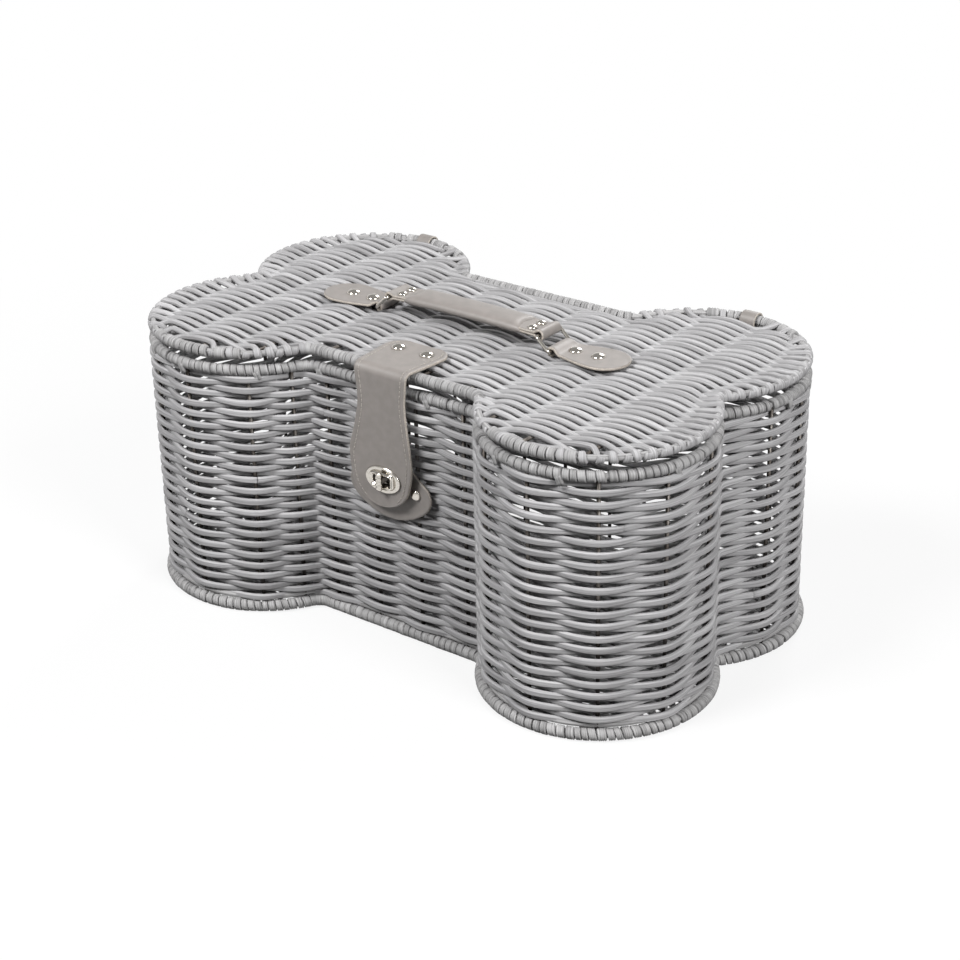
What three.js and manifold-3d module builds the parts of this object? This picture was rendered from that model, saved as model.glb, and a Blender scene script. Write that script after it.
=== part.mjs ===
// Lidded storage basket with a bone-shaped plan. Round synthetic-rattan strand is woven on a welded
// wire frame; the woven lid turns in two leather loops, carries a leather handle on wire rings and
// closes with a leather strap and a turn lock. Millimetres, +Z up, the clasp faces -Y, and the
// origin is the middle of the base, on the surface that the basket stands on.
import * as THREE from 'three';
import { mergeVertices } from 'three/addons/utils/BufferGeometryUtils.js';
import Module from 'manifold-3d';

const wasm = await Module();
wasm.setup();

// Clearances
const gap = 0.3; // between pieces that seat on each other
const hingeClearance = 0.4; // between the lid rim and the loops it turns in
const swingClearance = 0.8; // round a fixed piece that another one swings past

// Bone outline, at the middle of the rims
const lobeX = 131.5; // lobe centre from the middle, along the length
const lobeY = 50.8; // lobe centre from the middle, along the depth
const lobeR = 68.5;
const waistY = 77; // half depth of the straight waist
const waistFillet = 14.2;
const endFillet = 8;
const lobeStep = THREE.MathUtils.degToRad(20); // facet angle on the lobes
const filletSteps = 2;
const hollowTurn = 0.1; // sine of the least inward turn that counts as a fillet's corner

// Strand, wire and rims
const strandD = 3.5;
const wireD = 2.5;
const rowPitch = 3.75; // between neighbouring strands
const weaveSkin = 0.5; // least weave left over the seat of a wire
const stakePitch = 36; // along the wall
const crossWirePitch = 36; // across the lid and the floor
const crossWireMargin = 25; // least distance from the last one to the end of a lobe
const bottomRimR = 4.4;
const topRimR = 3.7;
const lidRimR = 4.4;
const topRimZ = 167.8;
const lidLift = 10.4; // lid rim above the top rim
const weldDepth = 0.4; // how far welded wires sink into each other

// Leather
const leather = 1.6;
const loopLeather = 1.3; // thinner where it is folded into an eye
const hingeLoopWidth = 11;
const hingeFlatMargin = 1.2; // straight rim left at each side of a hinge loop

// Handle: tabs, rings, strap and grip
const tabEyeRise = 1.5; // eye centre above the lid weave
const tabNeckWidth = 19;
const tabEndR = 16;
const tabLength = 33; // from its eye to the middle of its round end
const tabRivets = [12, 28.5]; // from its eye
const ringWireD = 2.5;
const ringLength = 12.5; // between its two bars
const ringLean = THREE.MathUtils.degToRad(44); // above the horizontal, leaning inward
const ringCornerR = 2.2;
const ringChamfer = 0.75;
const handleStrapWidth = 19;
const handleStrapThickness = 3;
const openEyeClearance = 0.9; // at the right-hand ring, which follows the other one
const gripLength = 91;
const handleEndLength = 13.5; // from the end of the grip to the eye
const gripWidth = 22;
const gripThickness = 7.5;
const gripRounding = 1.8;
const handleArch = 1.2;
const handleRivetInset = 5.5; // from the end of the grip
const handleRivetY = 4.6;

// Clasp: strap, patch and turn lock
const strapThickness = 1.8;
const strapOverhang = 7.3; // bend line beyond the outside of the lid rim
const strapBendWidth = 40;
const strapEarWidth = 46;
const strapTopLength = 43;
const strapEarR = 11;
const strapRivetX = 11;
const strapRivetInset = 12;
const flapLength = 90;
const flapNeckWidth = 36;
const flapNeckDrop = 22;
const flapShoulderWidth = 42;
const flapShoulderRise = 25; // above the lock
const flapWidth = 50; // at its widest
const flapWidestRise = 7.5; // above the lock
const flapTipWidth = 38;
const flapTipRise = 6.5; // above the end of the flap
const lockDrop = 72; // turn lock below the bend
const patchWidth = 68;
const patchHeight = 47;
const patchTop = 18; // top of the patch above the lock
const patchCornerR = 9;
const patchRivetX = 20.5;
const patchRivetDrop = 7;
const lockPlateWidth = 27.5;
const lockPlateHeight = 18;
const lockPlateThickness = 1.2;
const lockSlotLength = 15;
const lockSlotHeight = 6;
const lockSlotCornerR = 1;
const lockCollarWall = 1.5;
const lockCollarHeight = 1.8;
const lockBaseWidth = 24;
const lockBaseHeight = 14;
const lockBaseThickness = 1.2;
const lockPostR = 2.3;
const lockPinR = 1;
const lockPinLength = 5;
const knobLength = 13;
const knobWidth = 4.6;
const knobThickness = 3.4;
const knobCornerR = 2.1;

// Rivets: a domed head, a shank and a flat tail
const domeShoulderR = 0.72; // share of the head's radius where the dome turns over
const domeShoulderH = 0.66; // share of the head's height there
const lidRivet = { headR: 4.5, headH: 2.2, shankR: 1.5, tailR: 3.5, tailH: 1 };
const patchRivet = { headR: 3.6, headH: 2.4, shankR: 1.4, tailR: 3.2, tailH: 1 };
const handleRivet = { headR: 3.2, headH: 1.7, shankR: 1.2, tailR: 2.6, tailH: 0.8 };

// Facets
const rivetSides = 8;
const wireSides = 6;
const eyeSides = 12;
const loopSteps = 8;
const strapSteps = 8;
const curveSteps = 4;
const flapSteps = 15;

// Dependent sizes
const wireR = wireD / 2;
const seatR = wireR + gap; // of the bores that the wires lie in
const weaveHalf = wireR + strandD; // from the wires to the outside of the weave
const weaveValley = seatR + weaveSkin; // from the wires to the hollows between the bulges
const eighth = Math.PI / 8;
const apothem = (r) => r * Math.cos(eighth);
const bottomRimZ = apothem(bottomRimR);
const bottomOffset = wireD - weldDepth; // the stakes are welded to the inside of the bottom ring
const floorWireZ = bottomRimZ + wireD - weldDepth;
const lidZ = topRimZ + lidLift;
const lidTop = lidZ + weaveHalf;
const leatherZ = lidTop + gap; // underside of the leather on the lid
const hingeFlat = Math.asin((hingeLoopWidth / 2 + hingeFlatMargin) / lobeR);
const hingeY = lobeY + lobeR * Math.cos(hingeFlat);
const strapAxisY = -(waistY + apothem(lidRimR) + strapOverhang);
const strapAxisZ = leatherZ + strapThickness / 2;
const strapRivetY = strapAxisY + strapTopLength - strapRivetInset;
const lockZ = strapAxisZ - lockDrop;
const wallFaceY = -(waistY + weaveHalf);
const patchFaceY = wallFaceY - gap - leather;
const flapBackY = strapAxisY + strapThickness / 2;
const flapFaceY = strapAxisY - strapThickness / 2;
const lockPlateFaceY = flapFaceY - gap - lockPlateThickness;
const postEndY = lockPlateFaceY - lockCollarHeight - gap;
const tabEyeZ = lidTop + tabEyeRise;
const eyeR = ringWireD / 2 + gap;
const handleEyeX = gripLength / 2 + handleEndLength;
const handleRivetX = gripLength / 2 + handleRivetInset;
const tabEyeX = handleEyeX + ringLength * Math.cos(ringLean);
const tabEndX = tabEyeX + tabLength;
const tabRivetXs = tabRivets.map((distance) => tabEyeX + distance);
const handleEyeZ = tabEyeZ + ringLength * Math.sin(ringLean);
const ringInnerWidth = Math.max(tabNeckWidth, handleStrapWidth) + 2 * swingClearance;

const steel = new THREE.MeshStandardMaterial({ color: '#55575a', roughness: 0.5, metalness: 0.9 });
const rattan = new THREE.MeshStandardMaterial({ color: '#a9a9ac', roughness: 0.55, metalness: 0 });
const hide = new THREE.MeshStandardMaterial({ color: '#8f8a84', roughness: 0.6, metalness: 0 });
const nickel = new THREE.MeshStandardMaterial({ color: '#d6d2cc', roughness: 0.2, metalness: 1 });

const basket = new THREE.Group();

function part(name, shape, material) {
  const geometry = shape.isBufferGeometry ? shape : geometryOf(shape);
  const mesh = new THREE.Mesh(geometry, material);
  mesh.name = name;
  basket.add(mesh);
}

// Solids that can be joined and cut
function solid(geometry) {
  geometry.deleteAttribute('normal');
  geometry.deleteAttribute('uv');
  const merged = mergeVertices(geometry, 1e-4);
  return new wasm.Manifold(new wasm.Mesh({
    numProp: 3,
    vertProperties: merged.attributes.position.array,
    triVerts: new Uint32Array(merged.index.array),
  }));
}

function geometryOf(manifold) {
  const { vertProperties, triVerts } = manifold.getMesh();
  const geometry = new THREE.BufferGeometry();
  geometry.setAttribute('position', new THREE.BufferAttribute(new Float32Array(vertProperties), 3));
  geometry.setIndex(new THREE.BufferAttribute(new Uint32Array(triVerts), 1));
  return geometry;
}

const join = (...geometries) => geometries.map(solid).reduce((a, b) => a.add(b));
const cut = (base, ...tools) => tools.reduce((a, tool) => a.subtract(tool), base);

// Outlines
function arc(x, y, r, from, to, steps) {
  return new THREE.EllipseCurve(x, y, r, r, from, to, to < from).getPoints(steps);
}

// One quarter of the bone, from the notch at the end round the lobe to the middle of the waist
function boneQuarter(offset) {
  const endX = lobeX + Math.sqrt((lobeR + endFillet) ** 2 - lobeY ** 2);
  const filletY = waistY + waistFillet;
  const filletX = lobeX - Math.sqrt((lobeR + waistFillet) ** 2 - (filletY - lobeY) ** 2);
  const fromEnd = Math.atan2(-lobeY, endX - lobeX);
  const toWaist = Math.atan2(filletY - lobeY, filletX - lobeX);
  const top = Math.PI / 2;
  const r = lobeR + offset;
  const steps = (angle) => Math.max(1, Math.round(angle / lobeStep));
  return [
    ...arc(endX, 0, endFillet - offset, Math.PI, fromEnd + Math.PI, filletSteps),
    ...arc(lobeX, lobeY, r, fromEnd, top - hingeFlat, steps(top - hingeFlat - fromEnd)).slice(1),
    ...arc(lobeX, lobeY, r, top + hingeFlat, toWaist, steps(toWaist - top - hingeFlat)),
    ...arc(filletX, filletY, waistFillet - offset, toWaist + Math.PI, 1.5 * Math.PI, filletSteps).slice(1),
  ];
}

// The whole outline, counter-clockwise from the middle of the right-hand end
function bone(offset) {
  const quarter = boneQuarter(offset);
  const flip = (points, sx, sy) => points.map((p) => new THREE.Vector2(p.x * sx, p.y * sy));
  const back = [...quarter].reverse();
  return [
    ...quarter,
    ...flip(back, -1, 1),
    ...flip(quarter.slice(1), -1, -1),
    ...flip(back, 1, -1).slice(0, -1),
  ];
}

function outline(points, ...holes) {
  const shape = new THREE.Shape(points);
  shape.holes = holes.map((hole) => new THREE.Path(hole));
  return shape;
}

function roundedBox(width, height, r, steps = 3) {
  const x = width / 2 - r;
  const y = height / 2 - r;
  const turn = Math.PI / 2;
  return [[x, y], [-x, y], [-x, -y], [x, -y]]
    .flatMap(([cx, cy], i) => arc(cx, cy, r, i * turn, (i + 1) * turn, steps));
}

const oval = (width, height, steps = 16) =>
  new THREE.EllipseCurve(0, 0, width / 2, height / 2).getPoints(steps).slice(0, -1);
const disc = (x, y, r, steps = rivetSides) =>
  arc(x, y, r / Math.cos(Math.PI / steps), 0, 2 * Math.PI, steps).slice(0, -1);

// Flat pieces: lying on a level, and standing with their thickness along Y or X
function slab(shape, z, thickness) {
  return new THREE.ExtrudeGeometry(shape, { depth: thickness, bevelEnabled: false }).translate(0, 0, z);
}

function upright(shape, backY, thickness) {
  return slab(shape, 0, thickness).rotateX(Math.PI / 2).translate(0, backY, 0);
}

function acrossX(shape, x, width) {
  return slab(shape, -width / 2, width).rotateY(Math.PI / 2).rotateX(Math.PI / 2).translate(x, 0, 0);
}

// A rim that follows the bone: eight-sided where it shows, square where it is a wire inside a rim
function rim(offset, z, r) {
  const face = r * Math.sin(eighth);
  const bevel = apothem(r) - face;
  const shape = outline(bone(offset + face), bone(offset - face));
  const settings = { depth: 2 * face, bevelThickness: bevel, bevelSize: bevel, bevelSegments: 1 };
  return new THREE.ExtrudeGeometry(shape, settings).translate(0, 0, z - face);
}

function ringWire(offset, z, r) {
  return slab(outline(bone(offset + r), bone(offset - r)), z - r, 2 * r);
}

// What is cut out of a wrapped rim: a channel for its ring wire, open to the side the wires come from
function band(from, to, bottom, top) {
  return solid(slab(outline(bone(to), bone(from)), bottom, top - bottom));
}

function wire(from, to, r) {
  const run = new THREE.Vector3().subVectors(to, from);
  const up = new THREE.Vector3(0, 1, 0);
  const turn = new THREE.Quaternion().setFromUnitVectors(up, run.clone().normalize());
  return new THREE.CylinderGeometry(r, r, run.length(), wireSides)
    .applyQuaternion(turn)
    .translate(...from.clone().addScaledVector(run, 0.5).toArray());
}

// The outline as a track from the middle of the back towards -X, with its outward ways and distances
function boneTrack() {
  const [points, grown] = [bone(0), bone(1)];
  const first = points.findIndex((p) => p.x < 0 && p.y > 0);
  const middle = { base: new THREE.Vector2(0, waistY), out: new THREE.Vector2(0, 1) };
  const corners = points.map((_, i) => (i + first) % points.length)
    .map((i) => ({ base: points[i], out: grown[i].clone().sub(points[i]) }));
  let at = 0;
  return [middle, ...corners, middle].map((corner, i, all) => {
    if (i) at += corner.base.distanceTo(all[i - 1].base);
    return { ...corner, at };
  });
}

const track = boneTrack();
const around = track.at(-1).at;

function onTrack(distance) {
  const at = THREE.MathUtils.euclideanModulo(distance, around);
  const i = Math.max(1, track.findIndex((corner) => corner.at >= at));
  const [a, b] = [track[i - 1], track[i]];
  const share = (at - a.at) / (b.at - a.at);
  return { base: a.base.clone().lerp(b.base, share), out: a.out.clone().lerp(b.out, share).normalize() };
}

// A wire that would meet a rivet or a hinge loop stands beside it instead
function stepAside(x, obstacles) {
  const hit = obstacles.find(([at, reach]) => Math.abs(x - at) < reach);
  return hit ? hit[0] + (x < hit[0] ? -hit[1] : hit[1]) : x;
}

const besideRivet = ({ shankR }) => shankR + wireR + 3 * gap;
const besideLoop = hingeLoopWidth / 2 + wireR + swingClearance + gap;
const lidObstacles = [
  [strapRivetX, besideRivet(lidRivet)],
  ...tabRivetXs.map((x) => [x, besideRivet(lidRivet)]),
  [lobeX, besideLoop],
];
const wallObstacles = [-patchRivetX, patchRivetX].map((x) => [x, besideRivet(patchRivet)]);

// Stakes stand evenly between the hinge loops, along the back and round the ends and the front. Each
// run has an even number of them, so that every row of the weave closes on itself.
function stakeDistances() {
  const hinge = track.findIndex(({ base }) => base.x < -lobeX && base.y > lobeY);
  const hingeAt = (track[hinge - 1].at + track[hinge].at) / 2;
  const runs = [[-hingeAt, hingeAt], [hingeAt, around - hingeAt]];
  return runs.flatMap(([from, to]) => {
    const count = 2 * Math.round((to - from) / stakePitch / 2);
    return Array.from({ length: count }, (_, i) => {
      const distance = from + ((i + 0.5) * (to - from)) / count;
      const { base } = onTrack(distance);
      const onFront = Math.abs(base.y + waistY) < wireR;
      return onFront ? distance + stepAside(base.x, wallObstacles) - base.x : distance;
    });
  });
}

function halfDepth(x) {
  const points = boneQuarter(0);
  const upper = points.slice(points.findIndex((p) => p.y > lobeY));
  const i = upper.findIndex((p) => p.x < x);
  if (i < 1) return waistY;
  const [a, b] = [upper[i - 1], upper[i]];
  return THREE.MathUtils.mapLinear(x, a.x, b.x, a.y, b.y);
}

function crossWirePlaces() {
  const reach = lobeX + lobeR - crossWireMargin;
  const places = [];
  for (let x = crossWirePitch / 2; x <= reach; x += crossWirePitch) places.push(stepAside(x, lidObstacles));
  return [...places.map((x) => -x).reverse(), ...places];
}

function crossWires(offset, z, r) {
  return crossXs.map((x) => {
    const y = halfDepth(Math.abs(x)) + offset;
    return wire(new THREE.Vector3(x, -y, z), new THREE.Vector3(x, y, z), r);
  });
}

// Welded frames; grown by the gap they cut their own seats in the weave and the wraps
const stakeAt = stakeDistances();
const stakes = stakeAt.map((distance) => onTrack(distance).base);
const crossXs = crossWirePlaces();

function bodyFrame(grow) {
  const r = wireR + grow;
  return join(
    ringWire(bottomOffset, bottomRimZ, r),
    ringWire(0, topRimZ, r),
    ...stakes.map((p) => wire(
      new THREE.Vector3(p.x, p.y, bottomRimZ - wireR),
      new THREE.Vector3(p.x, p.y, topRimZ),
      r,
    )),
    ...crossWires(bottomOffset, floorWireZ, r),
  );
}

function lidFrame(grow) {
  return join(ringWire(0, lidZ, wireR + grow), ...crossWires(0, lidZ, wireR + grow));
}

// Weave: a strand bulges out where it passes in front of a wire, and the rows above and below it, which
// pass behind that wire, lie in the hollows. Sway is 1 in front of a wire and -1 behind it.
const bulge = (sway) => Math.max(weaveValley, strandD / 2 + (wireR + strandD / 2) * sway);
const turnAbout = (i) => (i % 2 ? -1 : 1);

// Columns of the relief: at the wires, halfway between them and at any extra places that the shape needs
function reliefColumns(wires, extras = []) {
  const halfway = wires.slice(1).map((at, i) => (at + wires[i]) / 2);
  const isClear = (at) => extras.every((extra) => Math.abs(extra - at) > 2 * strandD);
  const places = [...wires, ...halfway.filter(isClear), ...extras].sort((a, b) => a - b);
  return places.map((at) => {
    const next = Math.max(1, wires.findIndex((wireAt) => wireAt >= at));
    const share = (at - wires[next - 1]) / (wires[next] - wires[next - 1]);
    return { at, sway: turnAbout(next - 1) * Math.cos(Math.PI * share) };
  });
}

// A closed body through rings of points on rising levels, with facets split along the fuller diagonal
function loft(rings) {
  const count = rings[0].points.length;
  const faces = [];
  for (let i = 1; i < rings.length; i += 1) {
    const [below, above] = [rings[i - 1].heights, rings[i].heights];
    for (let j = 0; j < count; j += 1) {
      const k = (j + 1) % count;
      const [a, b, c, d] = [(i - 1) * count + j, (i - 1) * count + k, i * count + k, i * count + j];
      const isFull = below[j] + above[k] > below[k] + above[j];
      faces.push(...(isFull ? [a, b, c, a, c, d] : [a, b, d, b, c, d]));
    }
  }
  const last = (rings.length - 1) * count;
  const cap = ({ points }) => THREE.ShapeUtils.triangulateShape(points, []);
  faces.push(...cap(rings[0]).flatMap(([a, b, c]) => [c, b, a]));
  faces.push(...cap(rings.at(-1)).flat().map((corner) => corner + last));
  const places = rings.flatMap(({ z, points }) => points.flatMap((p) => [p.x, p.y, z]));
  const geometry = new THREE.BufferGeometry();
  geometry.setAttribute('position', new THREE.Float32BufferAttribute(places, 3));
  return geometry.setIndex(faces);
}

// Corners where the outline turns inwards, at the fillets of the waist and the ends
function hollowCorners() {
  return track.slice(1, -1).filter(({ base }, i) => {
    const into = base.clone().sub(track[i].base).normalize();
    const onward = track[i + 2].base.clone().sub(base).normalize();
    return into.cross(onward) < -hollowTurn;
  }).map(({ at }) => stakeAt[0] + THREE.MathUtils.euclideanModulo(at - stakeAt[0], around));
}

// Woven wall: rows of strand round the stakes, plain on the inside
function wovenWall(bottom, top) {
  const columns = reliefColumns([...stakeAt, stakeAt[0] + around], hollowCorners()).slice(0, -1)
    .map(({ at, sway }) => ({ ...onTrack(at), sway }));
  const ring = (z, side) => {
    const heights = columns.map(({ sway }) => bulge(side * sway));
    const points = columns.map(({ base, out }, i) => out.clone().multiplyScalar(heights[i]).add(base));
    return { z, points, heights };
  };
  const [low, high] = [bottom + strandD / 2, top - strandD / 2];
  const steps = Math.round((high - low) / rowPitch);
  const rows = Array.from({ length: steps + 1 }, (_, row) =>
    ring(THREE.MathUtils.lerp(low, high, row / steps), turnAbout(row)));
  const inside = slab(outline(bone(-weaveHalf)), bottom - strandD, top - bottom + 2 * strandD);
  return cut(solid(loft([ring(bottom, 0), ...rows, ring(top, 0)])), solid(inside));
}

// Woven lid: rows of strand along X over the cross wires, plain below. The pattern runs on past the
// last wires to the outline that trims it.
function wovenLid(trim) {
  const beyond = [crossWirePitch, 2 * crossWirePitch];
  const wires = [...crossXs, ...beyond.flatMap((d) => [crossXs[0] - d, crossXs.at(-1) + d])]
    .sort((a, b) => a - b);
  const columns = reliefColumns(wires).reverse();
  const ends = [columns.at(-1).at, columns[0].at].map((x) => new THREE.Vector2(x, -2 * weaveHalf));
  const reach = Math.ceil((lobeY + lobeR) / rowPitch);
  const rows = Array.from({ length: 2 * reach + 1 }, (_, i) => {
    const row = i - reach;
    const heights = columns.map(({ sway }) => bulge(turnAbout(row) * sway));
    const points = columns.map(({ at }, j) => new THREE.Vector2(at, heights[j]));
    return { z: row * rowPitch, points: [...points, ...ends], heights: [...heights, 0, 0] };
  });
  const relief = loft(rows).rotateX(Math.PI / 2).translate(0, 0, lidZ);
  return solid(relief).intersect(solid(trim));
}

// A rivet on +Z: its head sits on z = 0 and its shank runs down through the layers below
function rivet({ headR, headH, shankR, tailR, tailH }, layers) {
  const profile = [
    [0, -layers - gap - tailH], [tailR, -layers - gap - tailH], [tailR, -layers - gap],
    [shankR, -layers - gap], [shankR, gap], [headR, gap],
    [headR * domeShoulderR, gap + headH * domeShoulderH], [0, gap + headH],
  ].map(([x, y]) => new THREE.Vector2(x, y));
  return new THREE.LatheGeometry(profile, rivetSides).rotateX(Math.PI / 2);
}

function rivetHole({ shankR }, x, y, z, depth) {
  return solid(slab(outline(disc(x, y, shankR + gap)), z - depth, 2 * depth));
}

// Leather loop round the lid rim and the top rim, drawn across X
function loopOutline(grow) {
  const upper = lidRimR + hingeClearance + grow;
  const lower = topRimR + gap + grow;
  const tilt = Math.asin((lower - upper) / lidLift);
  return [
    ...arc(hingeY, lidZ, upper, tilt, Math.PI - tilt, loopSteps),
    ...arc(hingeY, topRimZ, lower, Math.PI - tilt, 2 * Math.PI + tilt, loopSteps),
  ];
}

const hingeXs = { left: -lobeX, right: lobeX };
const loopSeats = Object.values(hingeXs).map((x) =>
  solid(acrossX(outline(loopOutline(loopLeather + gap)), x, hingeLoopWidth + 2 * gap)));
const lidNotches = Object.values(hingeXs).map((x) => {
  const reach = lidRimR + hingeClearance + loopLeather + swingClearance;
  const size = new THREE.BoxGeometry(hingeLoopWidth + 2 * swingClearance, 2 * reach, 4 * weaveHalf);
  return solid(size.translate(x, hingeY, lidZ));
});

// Basket: frame, floor, wall, wraps and hinge loops
const frameSeat = bodyFrame(gap);
const wallBottom = bottomRimZ + apothem(bottomRimR) + 2 * gap;
const wallTop = topRimZ - apothem(topRimR) - gap;
const wall = wovenWall(wallBottom, wallTop);
const floor = slab(outline(bone(-weaveHalf - gap)), floorWireZ - weaveHalf + gap, 2 * weaveHalf - gap);
const patchRivetZ = lockZ - patchRivetDrop;
const patchHole = (x) => disc(x, patchRivetZ, patchRivet.shankR + gap);
const patchHoles = [patchHole(-patchRivetX), patchHole(patchRivetX)];
const wallRivetHoles = patchHoles.map((hole) =>
  solid(upright(outline(hole), -waistY + 2 * weaveHalf, 4 * weaveHalf)));

part('body_frame', bodyFrame(0), steel);
part('floor_weave', cut(solid(floor), frameSeat), rattan);
part('wall_weave', cut(wall, frameSeat, ...loopSeats, ...wallRivetHoles), rattan);
part('bottom_wrap', cut(
  solid(rim(bottomOffset, bottomRimZ, bottomRimR)),
  band(-2 * bottomRimR, bottomOffset + seatR, bottomRimZ - seatR, wallBottom),
), rattan);
part('top_wrap', cut(
  solid(rim(0, topRimZ, topRimR)),
  band(-seatR, seatR, wallTop - gap, topRimZ + seatR),
), rattan);
for (const [side, x] of Object.entries(hingeXs)) {
  const loop = outline(loopOutline(loopLeather), loopOutline(0));
  part(`hinge_loop_${side}`, acrossX(loop, x, hingeLoopWidth), hide);
}

// Clasp patch on the wall, with the fixed half of the turn lock
function patchOutline() {
  const half = patchCornerR / 2;
  const side = patchWidth / 2;
  const top = lockZ + patchTop;
  const bottom = top - patchHeight;
  const shoulder = patchRivetZ + half;
  const hip = shoulder - 2 * patchCornerR;
  const hipX = side - patchCornerR;
  const cornerX = side + half / 2;
  const shape = new THREE.Shape();
  shape.moveTo(half, top);
  shape.lineTo(side - half, shoulder);
  shape.quadraticCurveTo(cornerX, shoulder - patchCornerR, hipX, hip);
  shape.quadraticCurveTo(0, 2 * bottom - hip, -hipX, hip);
  shape.quadraticCurveTo(-cornerX, shoulder - patchCornerR, half - side, shoulder);
  shape.lineTo(-half, top);
  shape.quadraticCurveTo(0, top + half / 2, half, top);
  return shape.getPoints(curveSteps).slice(0, -1);
}

part('clasp_patch', upright(outline(patchOutline(), ...patchHoles), wallFaceY - gap, leather), hide);
for (const [side, x] of [['left', -patchRivetX], ['right', patchRivetX]]) {
  const shank = leather + gap + 2 * weaveHalf;
  const stud = rivet(patchRivet, shank).rotateX(Math.PI / 2).translate(x, patchFaceY, patchRivetZ);
  part(`patch_rivet_${side}`, stud, nickel);
}

const atLock = (points) => points.map((p) => new THREE.Vector2(p.x, p.y + lockZ));
const lockBaseBackY = patchFaceY - gap;
const lockBase = join(
  upright(outline(atLock(oval(lockBaseWidth, lockBaseHeight))), lockBaseBackY, lockBaseThickness),
  upright(outline(disc(0, lockZ, lockPostR)), lockBaseBackY, lockBaseBackY - postEndY),
);
const pinBore = upright(
  outline(disc(0, lockZ, lockPinR + gap)),
  postEndY + lockPinLength + gap,
  2 * lockPinLength,
);
part('lock_base', cut(lockBase, solid(pinBore)), nickel);

// Turning half of the lock: a bar that stands upright when locked, on a pin in the post
part('lock_knob', join(
  upright(outline(atLock(roundedBox(knobWidth, knobLength, knobCornerR))), postEndY - gap, knobThickness),
  upright(
    outline(disc(0, lockZ, lockPinR)),
    postEndY + lockPinLength,
    lockPinLength + gap + knobThickness / 2,
  ),
), nickel);

// Lid: frame, weave and wrapped rim
const lidSeat = lidFrame(gap);
const lidRivetPlaces = [...tabRivetXs.map((x) => [x, 0]), [strapRivetX, strapRivetY]];
const lidRivetHoles = lidRivetPlaces.flatMap(([x, y]) => [-x, x].map((across) =>
  rivetHole(lidRivet, across, y, lidZ, 2 * weaveHalf)));
const alongY = (points, width) => upright(outline(points), width / 2, width);
const eyePockets = [-1, 1].map((side) => solid(alongY(
  disc(side * tabEyeX, tabEyeZ, eyeR + loopLeather + gap, eyeSides),
  tabNeckWidth + 2 * gap,
)));
const lidPlate = slab(outline(bone(-apothem(lidRimR) - gap)), lidZ - weaveHalf, 2 * weaveHalf);
part('lid_frame', lidFrame(0), steel);
part('lid_weave', cut(wovenLid(lidPlate), lidSeat, ...lidNotches, ...lidRivetHoles, ...eyePockets), rattan);
part('lid_wrap', cut(
  solid(rim(0, lidZ, lidRimR)),
  band(-2 * lidRimR, seatR, lidZ - seatR, lidZ + seatR),
), rattan);

// Handle tabs: a teardrop on the lid with an eye folded round the ring
function tab(side) {
  const neck = tabNeckWidth / 2;
  const face = [
    ...arc(tabEndX, 0, tabEndR, -Math.PI / 2, Math.PI / 2, loopSteps),
    ...new THREE.QuadraticBezierCurve(
      new THREE.Vector2(tabEndX, tabEndR),
      new THREE.Vector2(tabEndX - tabEndR, tabEndR),
      new THREE.Vector2(tabEyeX, neck),
    ).getPoints(curveSteps).slice(1),
    ...new THREE.QuadraticBezierCurve(
      new THREE.Vector2(tabEyeX, -neck),
      new THREE.Vector2(tabEndX - tabEndR, -tabEndR),
      new THREE.Vector2(tabEndX, -tabEndR),
    ).getPoints(curveSteps).slice(0, -1),
  ].map((p) => new THREE.Vector2(p.x * side, p.y));
  const flat = slab(outline(face), leatherZ, leather);
  const eye = alongY(disc(side * tabEyeX, tabEyeZ, eyeR + loopLeather, eyeSides), tabNeckWidth);
  const bore = solid(alongY(disc(side * tabEyeX, tabEyeZ, eyeR), 2 * tabNeckWidth));
  const holes = tabRivetXs.map((x) => rivetHole(lidRivet, side * x, 0, leatherZ, 2 * leather));
  return cut(join(flat, eye), bore, ...holes);
}

for (const [name, side] of [['left', -1], ['right', 1]]) {
  part(`handle_tab_${name}`, tab(side), hide);
  tabRivetXs.forEach((x, i) => {
    const stud = rivet(lidRivet, leather + gap + 2 * weaveHalf);
    stud.translate(side * x, 0, leatherZ + leather);
    part(`tab_rivet_${name}_${i + 1}`, stud, nickel);
  });
}

// Wire rings, drawn flat with their bars along Y and then leaned inward
function ring(side) {
  const face = ringWireD - 2 * ringChamfer;
  const frame = (grow) => roundedBox(
    ringLength + 2 * grow,
    ringInnerWidth + ringWireD + 2 * grow,
    ringCornerR + grow,
    filletSteps,
  );
  const settings = { depth: face, bevelThickness: ringChamfer, bevelSize: ringChamfer, bevelSegments: 1 };
  return new THREE.ExtrudeGeometry(outline(frame(face / 2), frame(-face / 2)), settings)
    .translate(-ringLength / 2, 0, -face / 2)
    .rotateY(ringLean)
    .rotateZ(side < 0 ? Math.PI : 0)
    .translate(side * tabEyeX, 0, tabEyeZ);
}

part('ring_left', ring(-1), nickel);
part('ring_right', ring(1), nickel);

// Handle: a doubled strap with an eye at each end, in a padded grip
function strapBand(halfLength, halfThickness) {
  const r = (handleEyeX ** 2 + handleArch ** 2) / (2 * handleArch);
  const middle = handleEyeZ + handleArch - r;
  const reach = Math.asin(halfLength / r);
  const top = Math.PI / 2;
  return [
    ...arc(0, middle, r + halfThickness, top - reach, top + reach, strapSteps),
    ...arc(0, middle, r - halfThickness, top + reach, top - reach, strapSteps),
  ];
}

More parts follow.
